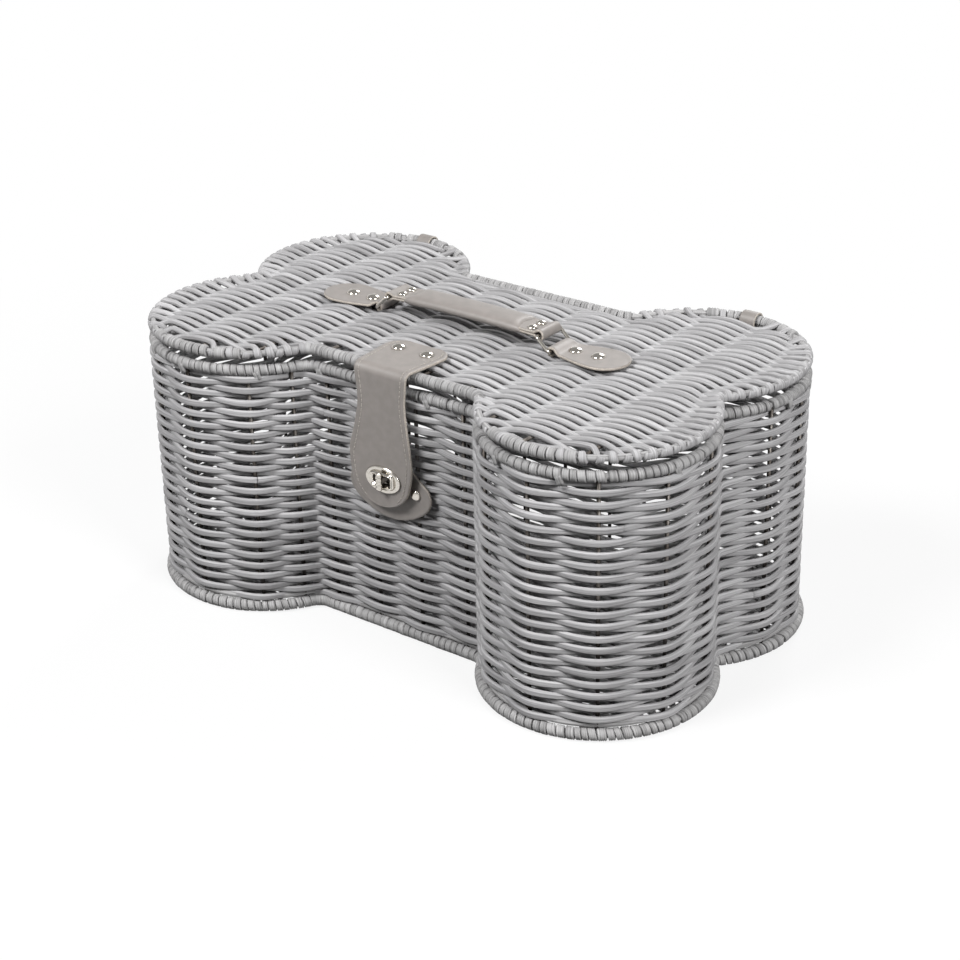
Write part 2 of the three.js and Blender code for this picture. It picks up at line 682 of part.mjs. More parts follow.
const handleEyes = [[-1, eyeR], [1, ringWireD / 2 + openEyeClearance]];
const eyeSolids = handleEyes.map(([side, r]) =>
  alongY(disc(side * handleEyeX, handleEyeZ, r + loopLeather, eyeSides), handleStrapWidth));
const eyeBores = handleEyes.map(([side, r]) =>
  solid(alongY(disc(side * handleEyeX, handleEyeZ, r, eyeSides), 2 * handleStrapWidth)));
const rivetPlaces = [-handleRivetX, handleRivetX].flatMap((x) =>
  [-handleRivetY, handleRivetY].map((y) => [x, y]));
const handleHoles = rivetPlaces.map(([x, y]) =>
  rivetHole(handleRivet, x, y, handleEyeZ, 2 * handleStrapThickness));
const handleBand = alongY(strapBand(handleEyeX, handleStrapThickness / 2), handleStrapWidth);
part('handle_strap', cut(join(handleBand, ...eyeSolids), ...eyeBores, ...handleHoles), hide);

const gripSettings = {
  depth: gripWidth - 2 * gripRounding,
  bevelThickness: gripRounding,
  bevelSize: gripRounding,
  bevelSegments: 2,
};
const gripBar = new THREE.ExtrudeGeometry(
  outline(strapBand(gripLength / 2 - gripRounding, gripThickness / 2 - gripRounding)),
  gripSettings,
).rotateX(Math.PI / 2).translate(0, gripWidth / 2 - gripRounding, 0);
const gripSlot = alongY(strapBand(gripLength, handleStrapThickness / 2 + gap), handleStrapWidth + 2 * gap);
part('handle_grip', cut(solid(gripBar), solid(gripSlot)), hide);

rivetPlaces.forEach(([x, y], i) => {
  const lift = handleArch * (1 - (x / handleEyeX) ** 2);
  const stud = rivet(handleRivet, handleStrapThickness)
    .translate(x, y, handleEyeZ + lift + handleStrapThickness / 2);
  part(`handle_rivet_${i + 1}`, stud, nickel);
});

// Clasp strap: the half on the lid and the half that swings down over the lock
function strapTopOutline() {
  const root = strapAxisY + strapThickness / 2 + gap;
  const end = strapAxisY + strapTopLength;
  const ear = strapEarWidth / 2;
  return [
    new THREE.Vector2(-strapBendWidth / 2, root),
    new THREE.Vector2(strapBendWidth / 2, root),
    ...arc(ear - strapEarR, end - strapEarR, strapEarR, 0, Math.PI / 2, curveSteps),
    ...arc(strapEarR - ear, end - strapEarR, strapEarR, Math.PI / 2, Math.PI, curveSteps),
  ];
}

const strapHoles = [-strapRivetX, strapRivetX].map((x) => disc(x, strapRivetY, lidRivet.shankR + gap));
part('clasp_strap_top', slab(outline(strapTopOutline(), ...strapHoles), leatherZ, strapThickness), hide);
for (const [side, x] of [['left', -strapRivetX], ['right', strapRivetX]]) {
  const stud = rivet(lidRivet, strapThickness + gap + 2 * weaveHalf);
  stud.translate(x, strapRivetY, leatherZ + strapThickness);
  part(`strap_rivet_${side}`, stud, nickel);
}

function flapOutline() {
  const end = strapAxisZ - flapLength;
  const half = new THREE.SplineCurve([
    new THREE.Vector2(strapBendWidth / 2, strapAxisZ),
    new THREE.Vector2(flapNeckWidth / 2, strapAxisZ - flapNeckDrop),
    new THREE.Vector2(flapShoulderWidth / 2, lockZ + flapShoulderRise),
    new THREE.Vector2(flapWidth / 2, lockZ + flapWidestRise),
    new THREE.Vector2(flapTipWidth / 2, end + flapTipRise),
    new THREE.Vector2(0, end),
  ]).getPoints(flapSteps);
  const other = half.slice(0, -1).reverse().map((p) => new THREE.Vector2(-p.x, p.y));
  return [...half, ...other];
}

const slotHole = (grow) => atLock(roundedBox(
  lockSlotLength + 2 * grow,
  lockSlotHeight + 2 * grow,
  lockSlotCornerR + grow,
  filletSteps,
));
const bendR = strapThickness / 2;
const flapRoot = new THREE.CylinderGeometry(bendR, bendR, strapBendWidth, eyeSides)
  .rotateZ(Math.PI / 2)
  .translate(0, strapAxisY, strapAxisZ);
part('clasp_strap_flap', join(
  upright(outline(flapOutline(), slotHole(lockCollarWall / 2)), flapBackY, strapThickness),
  flapRoot,
), hide);
const plateOutline = (width, height) => outline(atLock(oval(width, height)), slotHole(0));
part('lock_plate', join(
  upright(plateOutline(lockPlateWidth, lockPlateHeight), flapFaceY - gap, lockPlateThickness),
  upright(
    outline(slotHole(lockCollarWall), slotHole(0)),
    flapFaceY - gap,
    lockPlateThickness + lockCollarHeight,
  ),
), nickel);
part('lock_plate_back', upright(
  plateOutline(lockPlateWidth - 2 * lockCollarWall, lockPlateHeight - lockCollarWall),
  flapBackY + gap + lockPlateThickness,
  lockPlateThickness,
), nickel);

export default basket;
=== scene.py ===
import random
from math import asin, atan2, copysign, cos, pi, radians, sin, sqrt

import bmesh
import bpy
import numpy as np
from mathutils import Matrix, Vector


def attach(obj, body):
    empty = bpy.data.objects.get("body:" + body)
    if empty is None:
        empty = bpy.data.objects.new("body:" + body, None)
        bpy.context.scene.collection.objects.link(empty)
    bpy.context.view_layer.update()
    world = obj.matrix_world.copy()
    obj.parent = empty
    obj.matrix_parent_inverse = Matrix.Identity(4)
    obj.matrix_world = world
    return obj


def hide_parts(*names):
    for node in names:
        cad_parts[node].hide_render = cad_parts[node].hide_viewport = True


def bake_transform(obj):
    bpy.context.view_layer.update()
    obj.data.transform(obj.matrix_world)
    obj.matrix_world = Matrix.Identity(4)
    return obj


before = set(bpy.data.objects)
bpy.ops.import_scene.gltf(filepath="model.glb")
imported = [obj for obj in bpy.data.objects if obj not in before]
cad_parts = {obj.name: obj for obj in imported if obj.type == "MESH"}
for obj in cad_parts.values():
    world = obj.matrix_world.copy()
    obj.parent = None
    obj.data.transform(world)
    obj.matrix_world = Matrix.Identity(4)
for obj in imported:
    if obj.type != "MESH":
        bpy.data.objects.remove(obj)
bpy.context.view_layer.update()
mm = 0.001
luck = random.Random(7)
print("frame loaded:", len(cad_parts), "nodes")


# camera, at the photograph's angle
photoView = {
    "azimuth": 37.27,
    "elevation": 25.16,
    "roll": -0.89,
    "distance": 1302.7,  # mm
    "target": (17.8, 12.98, 86.87),  # mm
    "lens": 75.84,
    "shift": (-0.0298, -0.0151),
}


def addCamera():
    az = radians(photoView["azimuth"])
    el = radians(photoView["elevation"])
    roll = radians(photoView["roll"])
    back = Vector((sin(az) * cos(el), -cos(az) * cos(el), sin(el)))
    data = bpy.data.cameras.new("photo_camera")
    data.sensor_width = 36
    data.lens = photoView["lens"]
    data.shift_x, data.shift_y = photoView["shift"]
    data.clip_end = 20
    camera = bpy.data.objects.new("photo_camera", data)
    turn = back.to_track_quat("Z", "Y").to_matrix()
    right, up = turn.col[0].copy(), turn.col[1].copy()
    turn.col[0] = right * cos(roll) + up * sin(roll)
    turn.col[1] = up * cos(roll) - right * sin(roll)
    camera.matrix_world = turn.to_4x4()
    camera.location = (Vector(photoView["target"]) + back * photoView["distance"]) * mm
    bpy.context.scene.collection.objects.link(camera)
    bpy.context.scene.camera = camera


addCamera()
print("camera placed")


# materials
def linear(code):
    parts = [int(code[i:i + 2], 16) / 255 for i in (1, 3, 5)]
    return [c / 12.92 if c <= 0.04045 else ((c + 0.055) / 1.055) ** 2.4 for c in parts] + [1]


# a link comes from an output, or from the first output of a node
def addNode(tree, kind, settings=None, links=None):
    made = tree.nodes.new("ShaderNode" + kind)
    for name, value in (settings or {}).items():
        if isinstance(name, str) and hasattr(made, name):
            setattr(made, name, value)
        else:
            made.inputs[name].default_value = value
    for name, source in (links or {}).items():
        tree.links.new(source.outputs[0] if hasattr(source, "outputs") else source, made.inputs[name])
    return made


def newMaterial(name):
    material = bpy.data.materials.new(name)
    material.use_nodes = True
    material.node_tree.nodes.clear()
    return material, material.node_tree


def ramp(made, stops):
    bar = made.color_ramp
    while len(bar.elements) < len(stops):
        bar.elements.new(0.5)
    for element, (place, code) in zip(bar.elements, stops):
        element.position = place
        element.color = linear(code)


# polyethylene rattan, extruded: satin, with die lines that run along each strand and catch the light
rattan = {
    "pale": "#c2c1c2",
    "mid": "#a09fa0",
    "dull": "#777576",
    "dieLine": 0.85,  # mm between die lines, finer in the real strand but drawn coarse enough to show
    "streakLength": 70,  # mm
    "batch": (20, 160),  # mm across and along of the broad changes of tone
    "groove": 0.14,  # mm deep
    "roughness": 0.5,
    "gloss": 0.1,
}
# the flat strip of the bindings, rolled from the same strand: duller, with deeper die lines
rattanStrip = dict(rattan, pale="#b9b8b8", mid="#989797", dull="#535252", dieLine=1.0, groove=0.3)


def makeRattan(name, look):
    material, tree = newMaterial(name)
    uv = addNode(tree, "UVMap", {"uv_map": "strand"})
    lines = addNode(tree, "Mapping", {"Scale": (1 / look["dieLine"], 1 / look["streakLength"], 1)},
                    {"Vector": uv})
    fine = addNode(tree, "TexNoise", {"Scale": 1, "Detail": 2, "Roughness": 0.6}, {"Vector": lines})
    across, along = look["batch"]
    broad = addNode(tree, "Mapping", {"Scale": (1 / across, 1 / along, 1)}, {"Vector": uv})
    batch = addNode(tree, "TexNoise", {"Scale": 1, "Detail": 1}, {"Vector": broad})
    tone = addNode(tree, "Math", {"operation": "MULTIPLY_ADD", 1: 0.5, 2: 0.25}, {0: batch})
    streak = addNode(tree, "Math", {"operation": "MULTIPLY_ADD", 1: 0.8, 2: -0.15}, {0: fine})
    both = addNode(tree, "Math", {"operation": "ADD"}, {0: tone, 1: streak})
    colour = addNode(tree, "ValToRGB", {}, {0: both})
    ramp(colour, [(0.45, look["dull"]), (0.72, look["mid"]), (0.98, look["pale"])])
    bump = addNode(tree, "Bump", {"Strength": 0.8, "Distance": look["groove"] * mm}, {"Height": fine})
    rough = addNode(tree, "MapRange", {"To Min": look["roughness"] + 0.12,
                                       "To Max": look["roughness"] - 0.08}, {"Value": fine})
    shader = addNode(tree, "BsdfPrincipled", {"IOR": 1.51, "Specular IOR Level": look["gloss"]},
                     {"Base Color": colour, "Roughness": rough, "Normal": bump})
    addNode(tree, "OutputMaterial", {}, {"Surface": shader})
    return material


# a skin with one noise for its colour, and for its roughness and relief where they are given
def makeSkin(name, look):
    material, tree = newMaterial(name)
    place = addNode(tree, "TexCoord").outputs["Object"]
    noise = addNode(tree, "TexNoise", dict(look["noise"], Scale=1000 / look["grain"]), {"Vector": place})
    colour = addNode(tree, "ValToRGB", {}, {0: noise})
    ramp(colour, look["tones"])
    links = {"Base Color": colour}
    if "rough" in look:
        low, high = look["rough"]
        links["Roughness"] = addNode(tree, "MapRange", {"To Min": low, "To Max": high}, {"Value": noise})
    if "relief" in look:
        height = noise
        if "pebble" in look:
            height = addNode(tree, "TexVoronoi", {"Scale": 1000 / look["pebble"], "feature": "SMOOTH_F1"},
                             {"Vector": place})
        strength, depth = look["relief"]
        links["Normal"] = addNode(tree, "Bump", {"Strength": strength, "Distance": depth * mm},
                                  {"Height": height})
    shader = addNode(tree, "BsdfPrincipled", look["surface"], links)
    addNode(tree, "OutputMaterial", {}, {"Surface": shader})
    return material


# coated split leather, embossed: soft sheen, fine pebble and a little mottling
leather = {
    "tones": [(0.35, "#827d79"), (0.65, "#8a8480")],
    "grain": 6,  # mm of mottling
    "noise": {"Detail": 4},
    "rough": (0.41, 0.55),
    "pebble": 0.7,  # mm across a pebble
    "relief": (0.22, 0.12),  # strength, and depth in mm
    "surface": {"IOR": 1.5, "Sheen Weight": 0.06},
}
# cut leather edge, painted: paler than the face, with a fibrous grain
leatherEdge = {
    "tones": [(0.4, "#9a938b"), (0.6, "#b5ada3")],
    "grain": 0.9,  # mm of a fibre
    "noise": {"Detail": 3},
    "relief": (0.3, 0.1),
    "surface": {"Roughness": 0.6, "IOR": 1.5},
}
# polyester thread, twisted: slightly paler than the leather, mottled by its plies
thread = {
    "tones": [(0.4, "#948e87"), (0.6, "#b2aca5")],
    "grain": 0.35,  # mm of a ply
    "noise": {"Detail": 2},
    "surface": {"Roughness": 0.7, "IOR": 1.5},
}
# nickel plate on pressed steel: bright and warm, with faint polishing swirls
nickel = {
    "tones": [(0.3, "#c3beb6"), (0.7, "#d8d3cb")],
    "grain": 1.6,  # mm of a swirl
    "noise": {"Detail": 5, "Distortion": 1.2},
    "rough": (0.04, 0.18),
    "surface": {"Metallic": 1},
}
# drawn steel wire, bare: dull grey-brown with drawing scale; the lock base wears it too, as painted shade in
# the slot
wireSteel = {
    "tones": [(0.4, "#4a4541"), (0.65, "#6a6662")],
    "grain": 5,  # mm of a patch of scale
    "noise": {"Detail": 4},
    "rough": (0.62, 0.42),
    "surface": {"Metallic": 1},
}

rattanSkin = makeRattan("polyethylene_rattan", rattan)
stripSkin = makeRattan("rolled_rattan_strip", rattanStrip)
hideSkin = makeSkin("coated_split_leather", leather)
edgeSkin = makeSkin("painted_leather_edge", leatherEdge)
threadSkin = makeSkin("polyester_thread", thread)
nickelSkin = makeSkin("bright_nickel_plate", nickel)
steelWireAndSlotShadeSkin = makeSkin("drawn_steel_wire_and_slot_shade", wireSteel)
print("materials made")


# mesh tools, in millimetres
def unit(v):
    v = np.asarray(v, float)
    return v / np.maximum(np.linalg.norm(v, axis=-1, keepdims=True), 1e-9)


def wholeTurn(count):
    return np.arange(count) * 2 * np.pi / count


def spokes(turn):
    return np.stack([np.cos(turn), np.sin(turn)], -1)


def roundSection(across, up, sides):
    return spokes(wholeTurn(sides)) * [across, up]


# flat points set into space, with 0 on the axis that they lack
def inSpace(rows, lacking):
    return np.insert(rows, lacking, 0, axis=1)


# quads between rings of points; an open skin gets a cap at each end
def quads(rows, count, closed):
    i = np.arange(rows if closed else rows - 1)[:, None]
    j = np.arange(count)[None]
    nextI, nextJ = (i + 1) % rows, (j + 1) % count
    corners = [i * count + j, i * count + nextJ, nextI * count + nextJ, nextI * count + j]
    caps = [list(range(count))[::-1], list(range((rows - 1) * count, rows * count))]
    return np.stack(corners, -1).reshape(-1, 4).tolist() + ([] if closed else caps)


# a swept bar: path points, the way that each section's second axis faces, and one section or one each
def sweep(path, facing, section, closed=False, along=0.0):
    path = np.asarray(path, float)
    count = len(path)
    facing = np.broadcast_to(np.asarray(facing, float), path.shape)
    ahead = np.roll(path, -1, 0) - np.roll(path, 1, 0)
    if not closed:
        ahead[0] = path[1] - path[0]
        ahead[-1] = path[-1] - path[-2]
    ahead = unit(ahead)
    up = unit(facing - ahead * np.sum(facing * ahead, 1, keepdims=True))
    side = np.cross(ahead, up)
    section = np.asarray(section, float)
    if section.ndim == 2:
        section = np.broadcast_to(section, (count,) + section.shape)
    sides = section.shape[1]
    points = path[:, None] + side[:, None] * section[..., :1] + up[:, None] * section[..., 1:]
    steps = np.linalg.norm(np.roll(path, -1, 0) - path, axis=1)
    run = along + np.concatenate([[0], np.cumsum(steps)])
    girth = np.linalg.norm(np.roll(section[0], -1, 0) - section[0], axis=1)
    girthAt = np.concatenate([[0], np.cumsum(girth)])
    rows = count if closed else count - 1
    u = np.stack([girthAt[:-1], girthAt[1:], girthAt[1:], girthAt[:-1]], -1)
    v = np.stack([run[:rows], run[:rows], run[1:rows + 1], run[1:rows + 1]], -1)
    uv = np.stack(np.broadcast_arrays(u[None], v[:, None]), -1).reshape(-1, 2)
    capUv = np.tile([[0.0, along]], (0 if closed else 2 * sides, 1))
    return {"points": points.reshape(-1, 3), "faces": quads(count, sides, closed),
            "uv": np.concatenate([uv, capUv])}


# a skin over rings of flat points, each at its height
def stacked(rings, place, closed=True):
    points = [place(x, y, h) for ring, h in rings for x, y in ring]
    return {"points": np.array(points), "faces": quads(len(rings), len(rings[0][0]), closed)}


def gather(bars):
    start, points, faces, uv = 0, [], [], []
    for bar in bars:
        points.append(bar["points"])
        faces += [[k + start for k in face] for face in bar["faces"]]
        uv.append(bar["uv"])
        start += len(bar["points"])
    return {"points": np.concatenate(points), "faces": faces, "uv": np.concatenate(uv)}


def newPiece(name, shape, skins, smooth=True):
    mesh = bpy.data.meshes.new(name)
    mesh.from_pydata((np.asarray(shape["points"]) * mm).tolist(), [], shape["faces"])
    if "uv" in shape:
        layer = mesh.uv_layers.new(name="strand")
        layer.data.foreach_set("uv", np.asarray(shape["uv"], np.float32).ravel())
    for skin in skins:
        mesh.materials.append(skin)
    if "skin" in shape:
        mesh.polygons.foreach_set("material_index", shape["skin"])
    mesh.polygons.foreach_set("use_smooth", [smooth] * len(mesh.polygons))
    mesh.update()
    piece = bpy.data.objects.new(name, mesh)
    bpy.context.scene.collection.objects.link(piece)
    return piece


def tidyNormals(piece):
    work = bmesh.new()
    work.from_mesh(piece.data)
    bmesh.ops.recalc_face_normals(work, faces=work.faces)
    work.to_mesh(piece.data)
    work.free()


# a piece that rides on a body, hiding the nodes of the solids that it stands for
def addPiece(name, shape, skins, body, slot, *nodes, tidy=False):
    piece = newPiece(name, shape, skins)
    if tidy:
        tidyNormals(piece)
    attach(piece, body)
    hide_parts(*nodes)
    return piece


def metalPiece(name, shape, skin, body, node):
    addPiece(name, shape, [skin], body, "nickel", node, tidy=True)


# smooth curve through a few points
def curveThrough(points, perSpan):
    p = np.asarray(points, float)
    p = np.concatenate([[2 * p[0] - p[1]], p, [2 * p[-1] - p[-2]]])
    t = np.linspace(0, 1, perSpan, endpoint=False)[:, None]
    out = []
    for a, b, c, d in zip(p, p[1:], p[2:], p[3:]):
        out.append(0.5 * (2 * b + (c - a) * t + (2 * a - 5 * b + 4 * c - d) * t ** 2
                          + (3 * b - a - 3 * c + d) * t ** 3))
    return np.concatenate(out + [p[-2:-1]])


# the bone outline, with real arcs
bone = {
    "lobeX": 131.5, "lobeY": 50.8, "lobeR": 68.5, "waistY": 77, "waistFillet": 14.2, "endFillet": 8,
    "step": 0.5,  # mm between its points
}


def boneLoop():
    b = bone
    endX = b["lobeX"] + sqrt((b["lobeR"] + b["endFillet"]) ** 2 - b["lobeY"] ** 2)
    filletY = b["waistY"] + b["waistFillet"]
    reach = (b["lobeR"] + b["waistFillet"]) ** 2 - (filletY - b["lobeY"]) ** 2
    filletX = b["lobeX"] - sqrt(reach)
    fromEnd = atan2(-b["lobeY"], endX - b["lobeX"])
    toWaist = atan2(filletY - b["lobeY"], filletX - b["lobeX"])

    def arc(x, y, r, a, c):
        k = max(3, int(abs(c - a) * r / b["step"]))
        t = np.linspace(a, c, k)
        return np.stack([x + r * np.cos(t), y + r * np.sin(t)], 1)

    quarter = np.concatenate([
        arc(endX, 0, b["endFillet"], pi, fromEnd + pi)[:-1],
        arc(b["lobeX"], b["lobeY"], b["lobeR"], fromEnd, toWaist)[:-1],
        arc(filletX, filletY, b["waistFillet"], toWaist + pi, 1.5 * pi)[:-1],
        np.stack([np.linspace(filletX, 0, 60), np.full(60, b["waistY"])], 1),
    ])
    back = quarter[::-1][1:]
    half = np.concatenate([quarter, back * [-1, 1]])
    return np.concatenate([half, -half[1:-1]])


bonePoints = boneLoop()
boneSteps = np.linalg.norm(np.roll(bonePoints, -1, 0) - bonePoints, axis=1)
boneAt = np.concatenate([[0], np.cumsum(boneSteps)])
boneLength = boneAt[-1]
boneWrapped = np.concatenate([bonePoints, bonePoints[:1]])


# place, way ahead and way out at a length along the outline
def alongBone(s):
    def at(length):
        length = np.mod(length, boneLength)
        return np.stack([np.interp(length, boneAt, boneWrapped[:, k]) for k in (0, 1)], -1)

    s = np.mod(s, boneLength)
    reach = 1.0
    way = unit(at(s + reach) - at(s - reach))
    return at(s), way, np.stack([way[..., 1], -way[..., 0]], -1)


def nearestOnBone(p):
    return boneAt[np.argmin(np.hypot(*(bonePoints - p[:2]).T))]


# a round bar along the whole outline
def boneRing(radius, z, offset, sides):
    place, _, out = alongBone(np.linspace(0, boneLength, 420, endpoint=False))
    path = np.column_stack([place + out * offset, np.full(len(place), z)])
    return sweep(path, (0, 0, 1), roundSection(radius, radius, sides), closed=True)


# a path round a rim and the ways out of it
def roundRim(place, out, z, r, turn):
    facing = np.column_stack([out * np.cos(turn)[:, None], np.sin(turn)])
    return np.column_stack([place, np.full(len(turn), z)]) + facing * r, facing


# weave of the wall, floor and lid: flattened strand with two grooves along its face
weave = {
    "wide": 4.4,  # mm
    "thick": 3.3,
    "squeeze": 0.14,  # share that it narrows by between two wires
    "room": 3.5,  # mm kept for it at each side of a wire
    "wire": 2.5,
    "rowPitch": 3.75,
    "step": 3.0,  # mm along a strand
    "wander": 0.32,  # mm that a row strays up or down at a stake
    "bulge": 1.14,  # share of the swing that a strand reaches at a stake, at most
    "slack": 0.13,  # share that a bulge may lie closer to its stake
    "uneven": 0.05,  # share that a strand may be wider or narrower
    "taut": 0.3,  # 1 is straight from stake to stake, 0 follows the outline in waves
    "butt": 0.15,  # mm between the two ends of a strand
    "lidWide": 3.65,  # mm, the strand of the lid and the floor
    "tuck": 3.2,  # mm that the lowest row drops behind the bottom border
}
strandW, strandT = weave["wide"] / 2, weave["thick"] / 2
wireR = weave["wire"] / 2
swing = strandT + wireR  # from the wires to a strand's middle
halfWeave = wireR + weave["room"]


def strandSection(wide, thick):
    right = [(1, 0), (0.87, 0.6), (0.58, 0.98), (0.3, 0.76)]
    left = [(-x, y) for x, y in reversed(right)]
    return np.array(right + [(0, 1)] + left + [(-0.7, -0.8), (0, -1), (0.7, -0.8)]) * [wide, thick]


# each strand starts at another place of the die lines' pattern
def patternStart():
    return luck.uniform(0, 4000)  # mm


seat = 0.3  # mm between touching faces, as in the solids
bindingReach = 4.065  # mm from a rim wire to the outside of its binding in the solids
levels = {"bottom": bindingReach, "floor": 6.165, "top": 167.8, "lid": 178.2}
lidRimZ = levels["lid"] + 0.6  # the lid binding sits a little high on its wire
wallEnds = (8.73, 164.08)  # lowest and highest point of the woven wall
bottomOffset = 2.1  # the bottom ring stands outside the stakes


# stakes stand close on both sides of a waist corner, so that the strands cross in it
stakeSpots = {
    "corner": (66.5, 79.0),  # mm, middle of a waist corner
    "frontLobe": (10.5, 37.5, 79.5, 121.5, 162, 203),  # mm from the corner, along the lobe
    "backLobe": (11, 55, 101.3, 136.3, 171.3, 206.3),  # a hinge loop is between the second and third
    "waist": (53.8, 17),  # mm from the middle
}


def stakePlaces():
    cornerX, cornerY = stakeSpots["corner"]
    places = [0, boneLength / 2]  # in the two end notches
    for sideX in (1, -1):
        for sideY, lobe in ((1, "backLobe"), (-1, "frontLobe")):
            corner = nearestOnBone(np.array([sideX * cornerX, sideY * cornerY]))
            places += [corner - sideX * sideY * d for d in stakeSpots[lobe]]
            places += [nearestOnBone(np.array([sideX * x, sideY * bone["waistY"]]))
                       for x in stakeSpots["waist"]]
    return np.sort(np.mod(places, boneLength))


stakes = stakePlaces()
stakePoints, _, _ = alongBone(stakes)
print("stakes:", len(stakes))


# which stake comes before each place, and the share of the way to the next one
def betweenStakes(s):
    knots = np.concatenate([stakes, stakes[:1] + boneLength])
    s = np.mod(s - knots[0], boneLength) + knots[0]
    k = np.clip(np.searchsorted(knots, s, "right") - 1, 0, len(stakes) - 1)
    return k, (s - knots[k]) / (knots[k + 1] - knots[k])


# the bends that a stiff strand takes at its stakes
def eased(path):
    wide = np.pad(path, ((2, 2), (0, 0)), mode="edge")
    share = (1, 2, 3, 2, 1)
    soft = sum(w * wide[n:n + len(path)] for n, w in enumerate(share)) / sum(share)
    soft[[0, -1]] = path[[0, -1]]
    return soft


def wallStrands():
    low, high = wallEnds[0] + weave["room"] / 2, wallEnds[1] - weave["room"] / 2
    rows = round((high - low) / weave["rowPitch"]) + 1
    pitch = (high - low) / (rows - 1)
    bars = []
    for row in range(rows):
        start = luck.uniform(0, boneLength)
        s = np.linspace(start + weave["butt"], start + boneLength, int(boneLength / weave["step"]))
        arc, _, out = alongBone(s)
        k, t = betweenStakes(s)
        after = (k + 1) % len(stakes)
        chord = stakePoints[k] + (stakePoints[after] - stakePoints[k]) * t[:, None]
        place = arc + (chord - arc) * weave["taut"]
        ease = 0.5 - 0.5 * np.cos(np.pi * t)
        tight = weave["bulge"] - np.array([luck.uniform(0, weave["slack"]) for _ in stakes])
        stray = np.array([luck.gauss(0, weave["wander"]) for _ in stakes])
        sign = np.where((k + row) % 2 == 0, 1, -1)
        wave = np.cos(np.pi * t) + (1 - 2 * t - np.cos(np.pi * t)) * weave["taut"]
        reach = swing * sign * wave * (tight[k] + (tight[after] - tight[k]) * ease)
        z = low + row * pitch + stray[k] + (stray[after] - stray[k]) * ease
        z = np.clip(z, low, high)
        if row == 0:
            z -= weave["tuck"] * np.clip(-reach / swing, 0, 1)
        path = eased(np.column_stack([place + out * reach[:, None], z]))
        wide = strandW * (1 + luck.uniform(-weave["uneven"], weave["uneven"]))
        wide = wide * (1 - weave["squeeze"] * np.sin(np.pi * t) ** 2)
        sections = [strandSection(w, strandT) for w in wide]
        bars.append(sweep(path, inSpace(out, 2), sections, along=patternStart()))
    return bars


wallBars = wallStrands()
third = len(wallBars) // 3
wallParts = {"lower": wallBars[:third], "middle": wallBars[third:-third], "upper": wallBars[-third:]}
for label, bars in wallParts.items():
    addPiece("wall_strands_" + label, gather(bars), [rattanSkin], "basket", "grey_strand", "wall_weave")
print("wall woven:", len(wallBars), "rows")


# wires of the two frames
crossWires = {"pitch": 36, "margin": 25, "besideHinge": 7.85}  # mm


def crossWirePlaces():
    places = []
    x = crossWires["pitch"] / 2
    while x <= bone["lobeX"] + bone["lobeR"] - crossWires["margin"]:
        off = x - bone["lobeX"]
        if abs(off) < crossWires["besideHinge"]:
            off = copysign(crossWires["besideHinge"], off)
        places += [-bone["lobeX"] - off, bone["lobeX"] + off]
        x += crossWires["pitch"]
    return sorted(places)


crossXs = crossWirePlaces()


def outlineY(x):
    upper = bonePoints[bonePoints[:, 1] > bone["lobeY"]]
    near = upper[np.abs(upper[:, 0] - x) < 1.0]
    return near[:, 1].mean()


def straightWire(a, b, facing):
    return sweep([a, b], facing, roundSection(wireR, wireR, 10))


def frameRing(z, offset):
    return boneRing(wireR, z, offset, 8)


def crossWireBars(z):
    return [straightWire((x, -outlineY(x), z), (x, outlineY(x), z), (0, 0, 1)) for x in crossXs]


bodyWires = [frameRing(levels["bottom"], bottomOffset), frameRing(levels["top"], 0)]
bodyWires += [straightWire((x, y, levels["bottom"]), (x, y, levels["top"]), (1, 0, 0))
              for x, y in stakePoints]
bodyWires += crossWireBars(levels["floor"])
addPiece("frame_wires", gather(bodyWires), [steelWireAndSlotShadeSkin], "basket", "frame_steel", "body_frame")
lidWires = [frameRing(levels["lid"], 0)] + crossWireBars(levels["lid"])
addPiece("lid_wires", gather(lidWires), [steelWireAndSlotShadeSkin], "lid", "frame_steel", "lid_frame")
print("frame wires drawn")


# rims, by the radius of their binding
rimR = {"bottom": 3.68, "top": 3.3, "lid": 3.5}

# flat weave of the lid and the floor: rows along X over and under the cross wires
flatWeave = {
    "clearOfWire": 9.0,  # mm, a wire nearer than this to the rim is skipped
    "turnIn": 9.0,  # mm from the rim where a strand starts to bend to it
    "foot": 6.0,  # mm further along the rim where it goes over
    "flat": (2.35, 1.35),  # half width and half thickness where it is bent round the rim
    "over": (112, -140),  # degrees round the rim of an end that comes from above
    "under": (-112, 35),  # and of one that comes from below
    "slant": 1.6,  # mm along the rim
    "endPoints": 15,
    "stray": 0.2,  # mm that a row of the lid strays
    "floorInset": 5,  # mm that the floor's rows end before the outline
}


# where a row crosses the outline, in pairs
def rowSpans(y):
    inside = []
    ys = bonePoints[:, 1] - y
    for p, q, a, b in zip(bonePoints, np.roll(bonePoints, -1, 0), ys, np.roll(ys, -1)):
        if (a > 0) != (b > 0):
            inside.append(p[0] + (q[0] - p[0]) * a / (a - b))
    inside.sort()
    return list(zip(inside[::2], inside[1::2]))


def rowPath(y, start, end, parity, level):
    wires = [x for x in crossXs if start + flatWeave["clearOfWire"] < x < end - flatWeave["clearOfWire"]]
    first = crossXs.index(wires[0]) if wires else 0
    knots = np.array([start] + wires + [end])
    signs = np.array([(-1) ** (first + k - 1) * parity for k in range(len(knots))])
    xs = np.arange(start + 1, end - 0.5, weave["step"])
    k = np.clip(np.searchsorted(knots, xs, "right") - 1, 0, len(knots) - 2)
    t = (xs - knots[k]) / (knots[k + 1] - knots[k])
    z = level + swing * signs[k] * np.cos(np.pi * t)
    wide = weave["lidWide"] / 2 * (1 - weave["squeeze"] * np.sin(np.pi * t) ** 2)
    return np.column_stack([xs, np.full(len(xs), y), z]), wide, signs[0], signs[-1]


def distanceToBone(points):
    return np.linalg.norm(bonePoints[None, ::3] - points[:, None, :2], axis=2).min(1)


